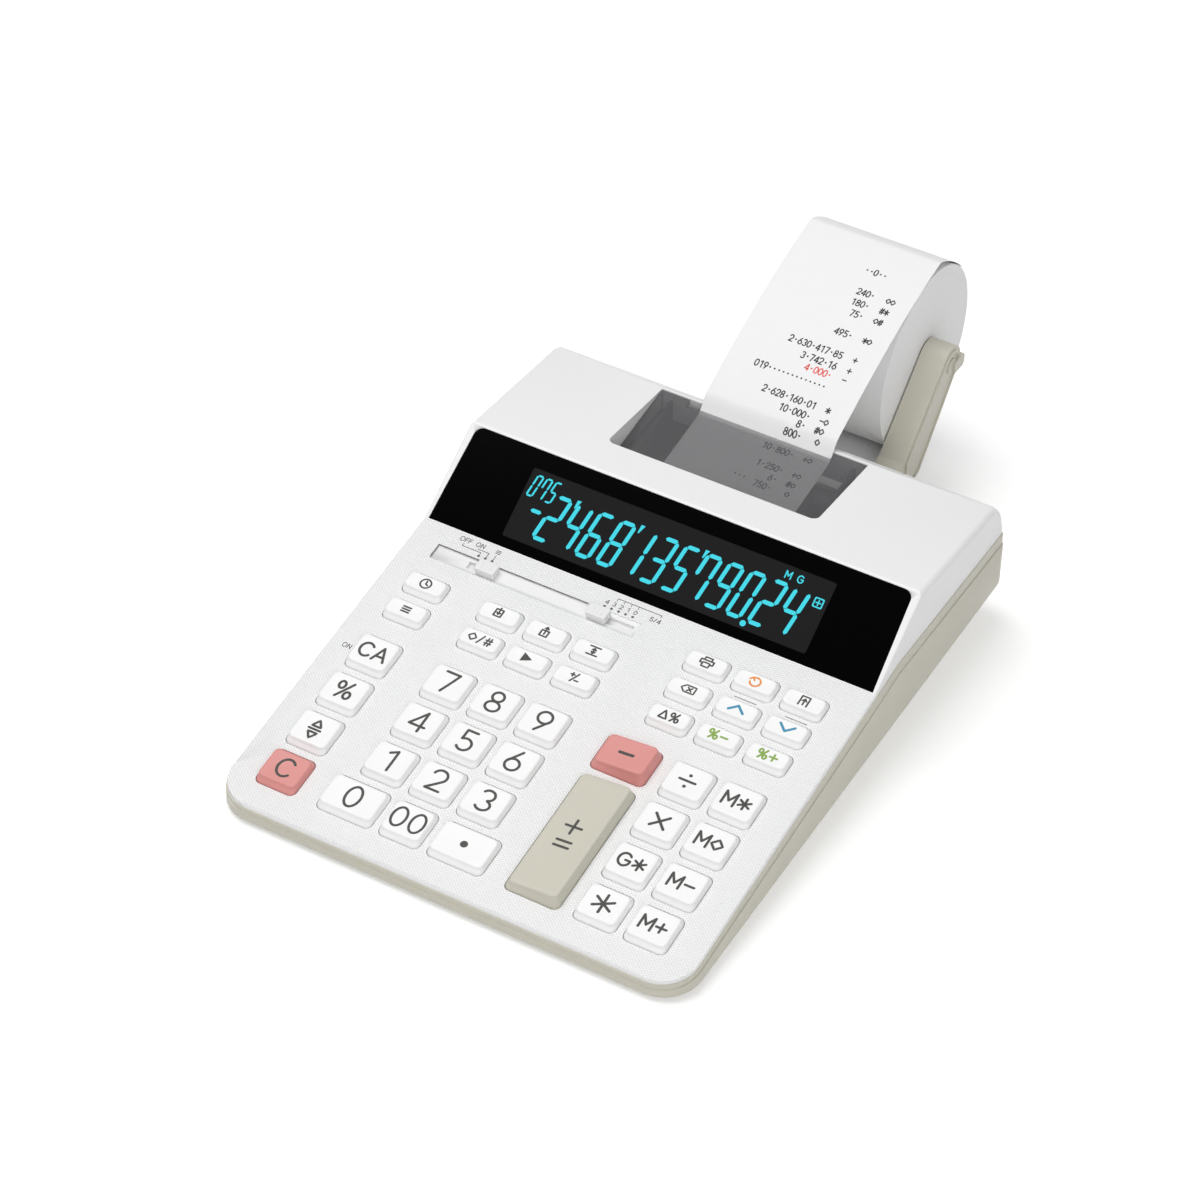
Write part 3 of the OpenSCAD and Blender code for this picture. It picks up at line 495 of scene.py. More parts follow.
def runs(p, closed):
    """Cuts an open path at corners sharper than 50 degrees, where two round ends meet better than a mitre."""
    if closed or len(p) < 3:
        return [p]
    d = np.diff(p, axis=0)
    d /= np.maximum(np.linalg.norm(d, axis=1), 1e-9)[:, None]
    cuts = [i + 1 for i in range(len(d) - 1) if (d[i] * d[i + 1]).sum() < math.cos(math.radians(50))]
    edges = [0] + cuts + [len(p) - 1]
    return [p[i:j + 1] for i, j in zip(edges[:-1], edges[1:])]


def ribbon(p, width, closed, place, low, high):
    """Left and right of each point by half the width; the ends narrow along a half circle."""
    before, after = (np.roll(p, 1, 0), np.roll(p, -1, 0)) if closed else (np.r_[p[:1], p[:-1]], np.r_[p[1:], p[-1:]])
    t = after - before
    t /= np.maximum(np.linalg.norm(t, axis=1), 1e-9)[:, None]
    wide = np.full(len(p), width / 2)
    if not closed:
        a = np.radians((10, 35, 62))
        out, narrow = width / 2 * np.cos(a), width / 2 * np.sin(a)
        p = np.concatenate([p[0] - t[0] * out[:, None], p, p[-1] + t[-1] * out[::-1, None]])
        t = np.concatenate([np.repeat(t[:1], 3, 0), t, np.repeat(t[-1:], 3, 0)])
        wide = np.concatenate([narrow, wide, narrow[::-1]])
    n = np.stack([-t[:, 1], t[:, 0]], axis=1) * wide[:, None]
    left, other = p + n, p - n
    corners = [place(q[:, 0], q[:, 1], h) for q, h in ((other, low), (other, high), (left, high), (left, low))]
    return np.stack(corners, axis=1), loft_faces(len(p), 4, closed)


PATH_STEP = 0.7


def thick(shapes, place, low, high):
    """Flat shapes given thickness from low to high over the face that place() describes."""
    parts = []
    for shape in shapes:
        if shape[0] == "path":
            kind, points, width, closed = shape
            parts += [ribbon(spaced(p, PATH_STEP, closed), width, closed, place, low, high)
                      for p in runs(points, closed)]
            continue
        kind, outer, inner = shape
        rings = [outer, outer] if kind == "area" else [outer, outer, inner, inner]
        heights = [low, high] if kind == "area" else [low, high, high, low]
        part = np.stack([place(ring[:, 0], ring[:, 1], h) for ring, h in zip(rings, heights)])
        parts.append((part, loft_faces(len(rings), len(outer), closed=kind == "ring")))
    verts = [v.reshape(-1, 3) for v, _ in parts]
    starts = np.cumsum([0] + [len(v) for v in verts]).tolist()
    faces = [[i + start for i in face] for (_, part), start in zip(parts, starts) for face in part]
    return np.concatenate(verts), faces


def disc(x, y, r, n=20):
    """A filled circle."""
    a = np.linspace(0, 2 * math.pi, n, endpoint=False)
    return ("area", np.stack([x + r * np.cos(a), y + r * np.sin(a)], axis=1), None)


def filled(points):
    """A filled outline, turned anticlockwise if it isn't."""
    p = np.asarray(points, float)
    turn = (p[:, 0] * np.roll(p[:, 1], -1) - np.roll(p[:, 0], -1) * p[:, 1]).sum()
    return ("area", p if turn > 0 else p[::-1], None)


def outward(piece):
    """Recalculates face directions so that they point out of each closed surface."""
    bm = bmesh.new()
    bm.from_mesh(piece.data)
    bmesh.ops.recalc_face_normals(bm, faces=bm.faces)
    bm.to_mesh(piece.data)
    bm.free()
    return piece


def laid(name, shapes, place, low, high, material, body, smooth=0):
    """One closed piece of flat shapes laid on a face, from low to high over it."""
    verts, faces = thick(shapes, place, low, high)
    return outward(new_piece(name, verts, faces, material, body, smooth))


print("surface tools ready")

# %% [markdown]
# ## Soft edges on the mouldings
#
# A moulded edge is never sharp. A copy of the solid's mesh is welded, its coplanar triangles are joined,
# and every corner edge gets a small rounding, wider where the real tool has a bigger radius.


# %% Rounded copies of solids
WELD = 0.004 * MM
FLAT_ANGLE, EDGE_ANGLE, SHADE_ANGLE = (math.radians(degrees) for degrees in (0.6, 24, 30))


def softened(node, name, material, body, width_mm, sized=None, segments=2):
    """A welded copy of a node whose edges over 24 degrees are rounded; sized(middles) gives each edge's mm."""
    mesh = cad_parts[node].data.copy()
    mesh.name = name
    bm = bmesh.new()
    bm.from_mesh(mesh)
    bmesh.ops.remove_doubles(bm, verts=bm.verts, dist=WELD)
    bmesh.ops.dissolve_degenerate(bm, edges=bm.edges, dist=WELD)
    bmesh.ops.dissolve_limit(bm, angle_limit=FLAT_ANGLE, verts=bm.verts, edges=bm.edges)
    weight = bm.edges.layers.float.new("bevel_weight_edge")
    bm.normal_update()
    sharp = [e for e in bm.edges if len(e.link_faces) == 2 and e.calc_face_angle(0.0) > EDGE_ANGLE]
    middles = np.array([((e.verts[0].co + e.verts[1].co) / 2)[:] for e in sharp]).reshape(-1, 3)
    sizes = np.full(len(sharp), float(width_mm)) if sized is None else sized(casing(middles))
    top = max(float(sizes.max()), 1e-6)
    for edge, size in zip(sharp, sizes):
        edge[weight] = float(size / top)
    bm.to_mesh(mesh)
    bm.free()
    mesh.materials.clear()
    mesh.materials.append(material)
    piece = added(name, mesh)
    mesh.shade_smooth()
    mesh.set_sharp_from_angle(angle=SHADE_ANGLE)
    bevel = piece.modifiers.new("rounding", "BEVEL")
    bevel.limit_method = "WEIGHT"
    bevel.offset_type = "OFFSET"
    bevel.width = top * MM
    bevel.segments = segments
    bevel.use_clamp_overlap = sized is None
    bevel.loop_slide = False
    bevel.harden_normals = True
    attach(piece, body)
    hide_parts(node)
    print(name, "edges rounded:", int((sizes > 0).sum()), "of", len(sharp))
    return piece


def top_z(y):
    """Height of the white casing's top at a depth: deck, then display face, then hood."""
    face = deck_z(PANEL_Y) + (y - PANEL_Y) * math.tan(PANEL_SLOPE)
    return np.where(y < PANEL_Y, deck_z(y), np.where(y < RIDGE[0], face, hood_z(y)))


TOP_HALF, CORNER_R, NEAR = 97.5, 15.0, 0.9
WELL_HALF, WELL_FRONT, WELL_REAR, TOP_END = 50, 195, 244, 249
HOOD_ROUND, DECK_ROUND, WELL_ROUND = 2.4, 0.8, 0.3


def white_edges(p):
    """Outer top edges: large on the hood, small round the deck and the printer well; the others stay."""
    x, y, z = np.abs(p[:, 0]), p[:, 1], p[:, 2]
    on_top = np.abs(z - top_z(y)) < np.where(y > WELL_REAR, 3.4, 0.35)
    middle_x = TOP_HALF - CORNER_R
    corner = CORNER_R - np.hypot(x - middle_x, y - CORNER_R)
    inside = np.minimum(TOP_HALF - x, y) - NEAR
    rim = on_top & (np.where((x > middle_x) & (y < CORNER_R), corner, inside) < NEAR)
    sizes = np.where(on_top & (np.abs(y - RIDGE[0]) < 0.3), DECK_ROUND, 0.0)
    sizes = np.where(rim, np.where(y > RIDGE[0] + 1, HOOD_ROUND, DECK_ROUND), sizes)
    well = on_top & (y > WELL_FRONT) & (y < WELL_REAR) & (x < WELL_HALF)
    return np.where(y > TOP_END, 0.0, np.where(well, WELL_ROUND, sizes))


upper = softened("upper_case", "upper_shell", white_casing, "case", 0.0, white_edges, 3)
lower = softened("lower_case", "lower_shell", greige, "case", 0.6)
window = softened("display_window", "display_panel", gloss_black, "case", 0.25)
cover = softened("printer_cover", "smoked_lid", smoked, "printer_cover", 0.35)
holder = softened("paper_holder", "roll_arms", greige, "paper_holder", 0.7)
hatch = softened("battery_cover", "battery_lid", greige, "battery_cover", 0.3)
print("rounded:", [o.name for o in (upper, lower, window, cover, holder, hatch)])

# %% [markdown]
# ## Keys
#
# A key is a ring of points carried up from its hidden flange, through its hole, up its leaning sides,
# round a soft edge and in over a top that is dished for the fingertip. The front leans more than the rear.

# %% The key table
SIDE_X, TALL_X = -77.3, 30.4
PITCH_X, PITCH_Y, SMALL_PITCH = 20.2, 20.3, 14.1
KEY_W, KEY_L, SMALL_L, WIDE_W, TALL_W = 16.8, 16.9, 10.4, 22.9, 22.2
KEY_H, TALL_H = 2.7, 5.2


def steps(start, pitch, count):
    """Evenly spaced places."""
    return [start + i * pitch for i in range(count)]


ROWS, SMALL_ROWS = steps(20.0, PITCH_Y, 4), steps(104.1, SMALL_PITCH, 3)
NUM_COLS, OP_COLS = steps(-45.0, PITCH_X, 3), steps(35.3, PITCH_X, 3)
keys = {}


def fill(columns, rows, length, names):
    """Keys of one length at every column and row, named row by row from the front left."""
    places = [(x, s) for s in rows for x in columns]
    for name, (x, s) in zip(names.split(), places):
        keys["key_" + name] = (x, s, KEY_W, length, KEY_H, KEY_H)


wide_shift = (WIDE_W - KEY_W) / 2
fill(NUM_COLS, ROWS[1:], KEY_L, "1 2 3 4 5 6 7 8 9")
keys["key_0"] = (NUM_COLS[0] - wide_shift, ROWS[0], WIDE_W, KEY_L, KEY_H, KEY_H)
fill(NUM_COLS[1:2], ROWS[:1], KEY_L, "00")
keys["key_point"] = (NUM_COLS[2] + wide_shift, ROWS[0], WIDE_W, KEY_L, KEY_H, KEY_H)
keys["key_plus_equals"] = (TALL_X, (ROWS[0] + ROWS[2]) / 2, TALL_W, 2 * PITCH_Y + KEY_L, KEY_H, TALL_H)
keys["key_minus"] = (TALL_X, ROWS[3], TALL_W, KEY_L, KEY_H, TALL_H)
fill([SIDE_X], ROWS, KEY_L, "clear markup percent clear_all")
fill(OP_COLS[1:2], ROWS, KEY_L, "total grand_total multiply divide")
fill(OP_COLS[2:], ROWS, KEY_L, "memory_plus memory_minus memory_subtotal memory_total")
fill([SIDE_X], SMALL_ROWS, SMALL_L, "subtotal time")
fill(NUM_COLS, SMALL_ROWS, SMALL_L, "mark backspace sign cost sell margin")
fill(OP_COLS, SMALL_ROWS, SMALL_L, "delta tax_minus tax_plus correct up down print reprint feed")
print(len(keys), "keys in the table")


# %% Key caps
EDGE_R = 0.9
DISH = 0.22
FLANGE = ((0.8, -2.8, 3.2), (0.8, -1.8, 3.2), (0.0, -1.8, 2.4), (0.0, -0.4, 2.4), (0.0, 0.0, 2.4))
FRONT_LEAN, REAR_LEAN, SIDE_LEAN = 0.62, 0.48, 0.17


def cap_height(size, u, v):
    """Height of a key's top at u, v from its middle: its slope across, less a dish that fades at the edges."""
    x, s, w, l, low, high = size
    slope = low + (high - low) * (u / w + 0.5)
    dish = DISH * np.clip(1 - (2 * u / (w - 2)) ** 2, 0, 1) * np.clip(1 - (2 * v / (l - 3)) ** 2, 0, 1)
    return slope - dish


def key_cap(name, size, material, slot):
    """Rings from the flange under the deck to the middle of the top; side lean grows with height."""
    x, s, w, l, low, high = size
    rings = []
    steps = (max(6, round(w / 2)), max(6, round(l / 2)))

    def ring(inset_side, inset_front, inset_rear, height, radius):
        """One round rectangle with its own insets, at an even height or one that follows the slope."""
        flat = round_rect(w - 2 * inset_side, l - inset_front - inset_rear, radius, 6, *steps)
        u, v = flat[:, 0], flat[:, 1] + (inset_front - inset_rear) / 2
        rings.append(deck(x + u, s + v, height(u, v)))

    for grow, height, radius in FLANGE:
        ring(-grow, -grow, -grow, lambda u, v, h=height: np.full_like(u, h), radius)
    lean = np.array([SIDE_LEAN * max(low, high), FRONT_LEAN * low, REAR_LEAN * low])
    for share in (0.33, 0.66):
        ring(*(lean * share), lambda u, v, k=share: k * (cap_height(size, u, v) - EDGE_R), 2.3)
    for degrees in (0, 22, 45, 67, 90):
        a = math.radians(degrees)
        inward = EDGE_R * (1 - math.cos(a))
        drop = EDGE_R * (1 - math.sin(a))
        ring(*(lean + inward * 0.8), lambda u, v, d=drop: cap_height(size, u, v) - d, 2.2 - 0.4 * a)
    for share in (0.93, 0.85, 0.76, 0.66, 0.56, 0.46, 0.36, 0.26, 0.16, 0.06):
        flat = round_rect(w - 2 * lean[0] - 1.6 * EDGE_R, l - lean[1] - lean[2] - 1.6 * EDGE_R, 1.6, 6, *steps) * share
        u, v = flat[:, 0], flat[:, 1] + (lean[1] - lean[2]) / 2
        rings.append(deck(x + u, s + v, cap_height(size, u, v)))
    piece = new_piece(name + "_cap", np.stack(rings), loft_faces(len(rings), len(rings[0])), material, name, 50)
    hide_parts(name)
    return piece


finish_of = {"key_clear": (pink_key, "key_pink"), "key_minus": (pink_key, "key_pink"),
             "key_plus_equals": (greige_key, "key_greige")}
for name, size in keys.items():
    key_cap(name, size, *finish_of.get(name, (white_key, "key_white")))
print(len(keys), "key caps lofted")

# %% [markdown]
# ## Legends
#
# Legends are printed in one thin line width. Each sign is a few paths in a box one unit high:
# straight runs, and arcs given by a middle, two radii and two angles. Signs stand side by side,
# and the whole legend is laid on the dished top of its key, so it presses down with it.


# %% Signs drawn with strokes
def arc(cx, cy, rx, ry, start, end, n=22):
    """Points of an ellipse from one angle to another, in degrees."""
    a = np.radians(np.linspace(start, end, n))
    return np.stack([cx + rx * np.cos(a), cy + ry * np.sin(a)], axis=1).tolist()


def oval(cx, cy, rx, ry):
    """A closed ellipse."""
    return ("loop", arc(cx, cy, rx, ry, 0, 360, 33)[:-1])


def line(*points):
    """An open path."""
    return ("line", list(points))


def dot(x, y, r=0.075):
    """A filled dot."""
    return ("dot", (x, y, r))


SIGN_GAP = 0.16
DIAMOND = ("loop", [(0.38, 0.12), (0.76, 0.5), (0.38, 0.88), (0.00, 0.5)])
SIGNS = {
    "0": (0.66, [oval(0.33, 0.5, 0.29, 0.46)]),
    "1": (0.50, [line((0.08, 0.80), (0.36, 0.96), (0.36, 0.04))]),
    "2": (0.66, [line(*arc(0.33, 0.69, 0.28, 0.27, 165, -35), (0.05, 0.04), (0.62, 0.04))]),
    "3": (0.64, [line(*arc(0.31, 0.73, 0.25, 0.23, 150, -75), *arc(0.31, 0.27, 0.28, 0.23, 75, -150))]),
    "4": (0.68, [line((0.67, 0.29), (0.03, 0.29), (0.50, 0.96), (0.50, 0.04))]),
    "5": (0.64, [line((0.56, 0.96), (0.13, 0.96), (0.11, 0.54), *arc(0.31, 0.32, 0.28, 0.28, 122, -145))]),
    "6": (0.66, [oval(0.33, 0.31, 0.28, 0.27), line((0.46, 0.96), (0.09, 0.43))]),
    "7": (0.64, [line((0.04, 0.96), (0.60, 0.96), (0.24, 0.04))]),
    "8": (0.66, [oval(0.33, 0.745, 0.23, 0.215), oval(0.33, 0.275, 0.28, 0.235)]),
    "9": (0.66, [oval(0.33, 0.69, 0.28, 0.27), line((0.57, 0.57), (0.20, 0.04))]),
    "C": (0.76, [line(*arc(0.42, 0.5, 0.38, 0.46, 42, 318))]),
    "A": (0.78, [line((0.03, 0.04), (0.39, 0.96), (0.75, 0.04)), line((0.16, 0.34), (0.62, 0.34))]),
    "G": (0.82, [line(*arc(0.42, 0.5, 0.38, 0.46, 42, 338), (0.78, 0.48), (0.48, 0.48))]),
    "M": (0.84, [line((0.05, 0.04), (0.05, 0.96), (0.42, 0.34), (0.79, 0.96), (0.79, 0.04))]),
    "O": (0.80, [oval(0.40, 0.5, 0.37, 0.46)]),
    "N": (0.72, [line((0.06, 0.04), (0.06, 0.96), (0.64, 0.04), (0.64, 0.96))]),
    "F": (0.56, [line((0.06, 0.04), (0.06, 0.96), (0.54, 0.96)), line((0.06, 0.52), (0.48, 0.52))]),
    "+": (0.72, [line((0.03, 0.5), (0.69, 0.5)), line((0.36, 0.17), (0.36, 0.83))]),
    "-": (0.72, [line((0.06, 0.5), (0.66, 0.5))]),
    "=": (0.72, [line((0.04, 0.36), (0.68, 0.36)), line((0.04, 0.64), (0.68, 0.64))]),
    "x": (0.72, [line((0.06, 0.2), (0.66, 0.8)), line((0.06, 0.8), (0.66, 0.2))]),
    ":": (0.72, [line((0.02, 0.5), (0.70, 0.5)), dot(0.36, 0.78), dot(0.36, 0.22)]),
    "%": (0.86, [oval(0.19, 0.73, 0.15, 0.2), oval(0.67, 0.26, 0.15, 0.2), line((0.70, 0.96), (0.17, 0.04))]),
    "*": (0.80, [line((0.40 - 0.40 * math.cos(a), 0.5 - 0.40 * math.sin(a)),
                      (0.40 + 0.40 * math.cos(a), 0.5 + 0.40 * math.sin(a)))
                 for a in (math.pi / 2, math.pi / 6, -math.pi / 6)]),
    "d": (0.78, [DIAMOND]),
    "/": (0.50, [line((0.06, 0.04), (0.44, 0.96))]),
    "#": (0.70, [line((0.16, 0.08), (0.26, 0.92)), line((0.44, 0.08), (0.54, 0.92)),
                 line((0.06, 0.66), (0.66, 0.66)), line((0.04, 0.34), (0.64, 0.34))]),
    "D": (0.80, [("loop", [(0.04, 0.06), (0.76, 0.06), (0.40, 0.92)])]),
    ".": (0.30, [dot(0.15, 0.5, 0.13)]),
    ">": (0.90, [("fill", [(0.05, 0.08), (0.85, 0.5), (0.05, 0.92)])]),
    "^": (1.40, [line((0.08, 0.22), (0.70, 0.80), (1.32, 0.22))]),
    "v": (1.40, [line((0.08, 0.80), (0.70, 0.22), (1.32, 0.80))]),
    "s": (0.86, [line((0.02, 0.72), (0.34, 0.72)), line((0.18, 0.56), (0.18, 0.88)),
                 line((0.22, 0.06), (0.64, 0.94)), line((0.52, 0.24), (0.84, 0.24))]),
    "t": (1.06, [oval(0.53, 0.5, 0.45, 0.45), line((0.53, 0.78), (0.53, 0.5), (0.74, 0.38))]),
    "i": (1.10, [line((0.30, 0.90), (0.08, 0.90), (0.08, 0.10), (0.80, 0.10), (0.80, 0.90), (0.58, 0.90)),
                 line((0.44, 1.10), (0.44, 0.36)), line((0.27, 0.54), (0.44, 0.34), (0.61, 0.54))]),
    "o": (1.10, [line((0.30, 0.62), (0.08, 0.62), (0.08, -0.06), (0.80, -0.06), (0.80, 0.62), (0.58, 0.62)),
                 line((0.44, 0.20), (0.44, 1.02)), line((0.27, 0.84), (0.44, 1.04), (0.61, 0.84))]),
    "b": (1.20, [line((0.06, 0.02), (1.14, 0.02)), line((0.06, 1.0), (1.14, 1.0)),
                 line((0.60, 0.22), (0.60, 0.80)), line((0.42, 0.62), (0.60, 0.82), (0.78, 0.62)),
                 line((0.42, 0.40), (0.60, 0.20), (0.78, 0.40))]),
    "p": (1.40, [line((0.36, 0.34), (0.08, 0.34), (0.08, 0.74), (1.32, 0.74), (1.32, 0.34), (1.04, 0.34)),
                 ("loop", [(0.36, -0.02), (1.04, -0.02), (1.04, 0.46), (0.36, 0.46)]),
                 line((0.36, 0.74), (0.36, 1.04), (1.04, 1.04), (1.04, 0.74))]),
    "r": (1.10, [line(*arc(0.55, 0.48, 0.44, 0.44, 130, -165, 28)), line((0.02, 0.62), (0.24, 0.86), (0.42, 0.60))]),
    "f": (1.10, [line((0.16, 0.00), (0.16, 1.0), (0.94, 1.0), (0.94, 0.00)), line((0.55, 0.08), (0.55, 0.74)),
                 line((0.36, 0.52), (0.55, 0.76), (0.74, 0.52))]),
    "c": (1.50, [("loop", [(0.42, 0.10), (1.44, 0.10), (1.44, 0.90), (0.42, 0.90), (0.04, 0.5)]),
                 line((0.68, 0.30), (1.10, 0.70)), line((0.68, 0.70), (1.10, 0.30))]),
    "u": (0.80, [("loop", [(0.10, 0.66), (0.70, 0.66), (0.40, 1.12)]), line((0.02, 0.44), (0.78, 0.44)),
                 ("loop", [(0.10, 0.22), (0.70, 0.22), (0.40, -0.24)])]),
    "e": (0.90, [line((0.04, 0.80), (0.84, 0.80)), line((0.04, 0.5), (0.84, 0.5)), line((0.04, 0.2), (0.84, 0.2))]),
}


def lettering(text, height, width, centre=(0.0, 0.0), slim=1.0):
    """Outlines of a row of signs: each box is scaled to the height, and the row is set about the centre."""
    widths = [SIGNS[c][0] * slim for c in text]
    start = -(sum(widths) + SIGN_GAP * (len(text) - 1)) / 2
    shapes = []
    for c, w in zip(text, widths):
        for kind, points in SIGNS[c][1]:
            p = np.array(points[:2] if kind == "dot" else points, float)
            p = (p * (slim, 1) + (start, -0.5)) * height + centre
            if kind == "dot":
                shapes.append(disc(*p, points[2] * height, 14))
            else:
                shapes.append(filled(p) if kind == "fill" else stroke(p, width, closed=kind == "loop"))
        start += w + SIGN_GAP
    return shapes


print(len(SIGNS), "signs defined")

# %% Legends on the keys
PRINT_T = 0.05
legends = {f"key_{i}": (str(i), 10.0, 1.05) for i in range(10)}
legends.update({
    "key_00": ("00", 9.3, 1.0), "key_point": (".", 11.5, 0.8), "key_minus": ("-", 9.2, 1.25),
    "key_clear": ("C", 8.6, 1.05), "key_clear_all": ("CA", 6.9, 1.02), "key_percent": ("%", 8.3, 1.05),
    "key_markup": ("u", 6.4, 0.95), "key_divide": (":", 9.4, 1.02), "key_multiply": ("x", 9.4, 1.1),
    "key_total": ("*", 10.0, 1.08), "key_grand_total": ("G*", 6.1, 0.98), "key_memory_plus": ("M+", 6.0, 0.98),
    "key_memory_minus": ("M-", 6.0, 0.98), "key_memory_subtotal": ("Md", 6.0, 0.98),
    "key_memory_total": ("M*", 6.1, 0.98), "key_time": ("t", 4.8, 0.68), "key_subtotal": ("e", 3.9, 0.75),
    "key_cost": ("i", 4.1, 0.68), "key_sell": ("o", 4.1, 0.68), "key_margin": ("b", 4.0, 0.68),
    "key_mark": ("d/#", 4.3, 0.68), "key_backspace": (">", 5.2, 0.5), "key_sign": ("s", 4.8, 0.68),
    "key_delta": ("D%", 4.4, 0.75), "key_tax_minus": ("%-", 4.5, 0.8), "key_tax_plus": ("%+", 4.5, 0.8),
    "key_correct": ("c", 4.0, 0.65), "key_up": ("^", 4.8, 1.0), "key_down": ("v", 4.8, 1.0),
    "key_print": ("p", 4.2, 0.66), "key_reprint": ("r", 4.6, 0.75), "key_feed": ("f", 4.2, 0.66)})
orange, blue, green = (legend_orange, "legend_orange"), (legend_blue, "legend_blue"), (legend_green, "legend_green")
legend_colour = {"key_reprint": orange, "key_up": blue, "key_down": blue, "key_tax_minus": green,
                 "key_tax_plus": green}


def legend(name, shapes):
    """Prints shapes on a key's top: each point takes the height of the dished top under it."""
    size = keys[name]
    lift = (FRONT_LEAN - REAR_LEAN) * size[4] / 2

    def top(u, v, h):
        """A place on the cap, h over its surface."""
        return deck(size[0] + u, size[1] + v + lift, cap_height(size, u, v) + h)

    material, slot = legend_colour.get(name, (legend_dark, "legend_dark"))
    laid(name + "_legend", shapes, top, -PRINT_T, PRINT_T, material, name)


for name, (text, height, width) in legends.items():
    legend(name, lettering(text, height, width))
plus, equals = lettering("+", 9.8, 1.05, centre=(-0.4, 3.4)), lettering("=", 9.2, 1.05, centre=(-0.4, -4.9))
legend("key_plus_equals", plus + equals)
print(len(legends) + 1, "legends printed")

# %% [markdown]
# ## The display
#
# The face is one black glossy window. Behind it the liquid crystal area is a shade lighter, and its
# digits are lit. A digit is seven bars with pointed ends, leaning to the right. The bars that are
# lit for each number come from one table.

# %% Lit digits
LCD = (-64.5, 65.2, 4.5, 33.5)
LEAN = math.tan(math.radians(8.7))
BARS = {"0": "abcdef", "1": "bc", "2": "abged", "3": "abgcd", "4": "fgbc", "5": "afgcd",
        "6": "afgedc", "7": "fabc", "8": "abcdefg", "9": "abcdfg"}


def bar(cx, cy, length, width, upright):
    """A bar with pointed ends: a hexagon, lying or standing."""
    half, w = length / 2, width / 2
    p = np.array([(-half, 0), (-half + w, -w), (half - w, -w), (half, 0), (half - w, w), (-half + w, w)])
    return (p[:, ::-1] if upright else p) + (cx, cy)


def digit(char, x, base, w, h, width):
    """Seven-bar digit standing on base with its middle at x: the lit bars, leaned by its height."""
    centre = base + h / 2
    lying = {"a": base + h, "g": centre, "d": base}
    standing = {"f": (-1, 1), "b": (1, 1), "e": (-1, -1), "c": (1, -1)}
    shapes = []
    for name in BARS[char]:
        if name in lying:
            p = bar(0.0, lying[name], w - 0.15 * width, width, False)
        else:
            side, rise = standing[name]
            p = bar(side * w / 2, centre + rise * h / 4, h / 2 - 0.2 * width, width, True)
        p = p + np.stack([(p[:, 1] - centre) * LEAN + x, np.zeros(len(p))], axis=1)
        shapes.append(filled(p))
    return shapes


lcd_w, lcd_l = LCD[1] - LCD[0], LCD[3] - LCD[2]
area = round_rect(lcd_w, lcd_l, 1.0) + ((LCD[0] + LCD[1]) / 2, (LCD[2] + LCD[3]) / 2)
laid("lcd_area", [filled(area)], panel, -0.02, 0.03, lcd_glass, "case")
LARGE, SMALL = (5.5, 18.0, 1.6), (2.3, 8.5, 0.75)
BOX_AT = (61.6, 24.1)
shown = []
for text, first, step, base, sizes in (("246813579024", -48.65, 9.25, 8.2, LARGE), ("075", -60.9, 4.0, 22.6, SMALL)):
    for k, char in enumerate(text):
        shown += digit(char, first + step * k, base, *sizes)
for x in (-42.6, -15.0, 12.6):
    shown.append(filled([(x, 24.2), (x + 0.5, 24.2), (x + 1.9, 27.6), (x + 0.2, 27.6)]))
shown += [disc(38.2, 6.7, 1.2), filled(bar(-56.0, 17.7, 4.6, 1.5, False))]
for sign, centre in (("M", (46.5, 30.0)), ("G", (51.5, 30.0)), ("+", BOX_AT)):
    shown += lettering(sign, 3.0, 0.5, centre=centre)
shown.append(("ring", round_rect(4.0, 4.0, 0.6) + BOX_AT, round_rect(2.9, 2.9, 0.3) + BOX_AT))
laid("lcd_digits", shown, panel, 0.01, 0.06, lcd_light, "case")
print("display shows", len(shown), "lit shapes")

# %% [markdown]
# ## Print on the deck
#
# Fine grey print beside the two slide switches: a dot at each stop of the knob, thin lines from
# the dots, ON and OFF at the left and plain numbers of decimal places at the right.

# %% Switch scales
FINE = 0.28
POWER_STOPS, FIRST_PLACE, PLACE_STEP = (-68.0, -65.0, -62.0), -13.0, 3.0
LEADERS = [([(-76.2, 143.9), (-76.2, 142.8), (-68.0, 142.8), (-68.0, 141.4)], FINE),
           ([(-69.8, 144.3), (-69.8, 143.9), (-65.0, 143.9), (-65.0, 141.4)], FINE),
           ([(-62.0, 144.2), (-62.0, 141.4)], FINE), ([(-10.0, 146.4), (8.6, 146.4), (8.6, 145.4)], FINE),
           ([(51.0, 124.9), (59.8, 124.9)], FINE), ([(71.8, 124.9), (80.6, 124.9)], FINE),
           ([(-84.4, 133.0), (-84.4, 139.3), (-19.2, 139.3)], 0.35)]
WORDS = [("OFF", 2.2, (-76.2, 145.9)), ("ON", 2.2, (-69.8, 145.9)), ("e", 2.4, (-62.0, 145.9)),
         ("5/4", 2.1, (7.4, 143.3)), ("ON", 2.2, (-89.2, 81.0))]
scale = [disc(x, 141.1, 0.55, 16) for x in POWER_STOPS] + [stroke(path, width) for path, width in LEADERS]
for text, height, centre in WORDS:
    scale += lettering(text, height, 0.3, centre=centre)
for k, char in enumerate("43210"):
    x = FIRST_PLACE + PLACE_STEP * k
    scale.append(disc(x, 141.0, 0.55, 16))
    scale += lettering(char, 2.0, FINE, centre=(x, 143.3))
    if k:
        scale.append(stroke([(x, 146.4), (x, 145.2)], 0.25))
laid("deck_scales", scale, deck, -PRINT_T, PRINT_T, deck_print, "case")
print("deck print:", len(scale), "strokes")

# %% [markdown]
# ## Slide knobs
#
# The knobs are small caps on a stem. Three low ribs across the top give the finger a hold.


# %% Knobs
CHANNEL_S = 135.9


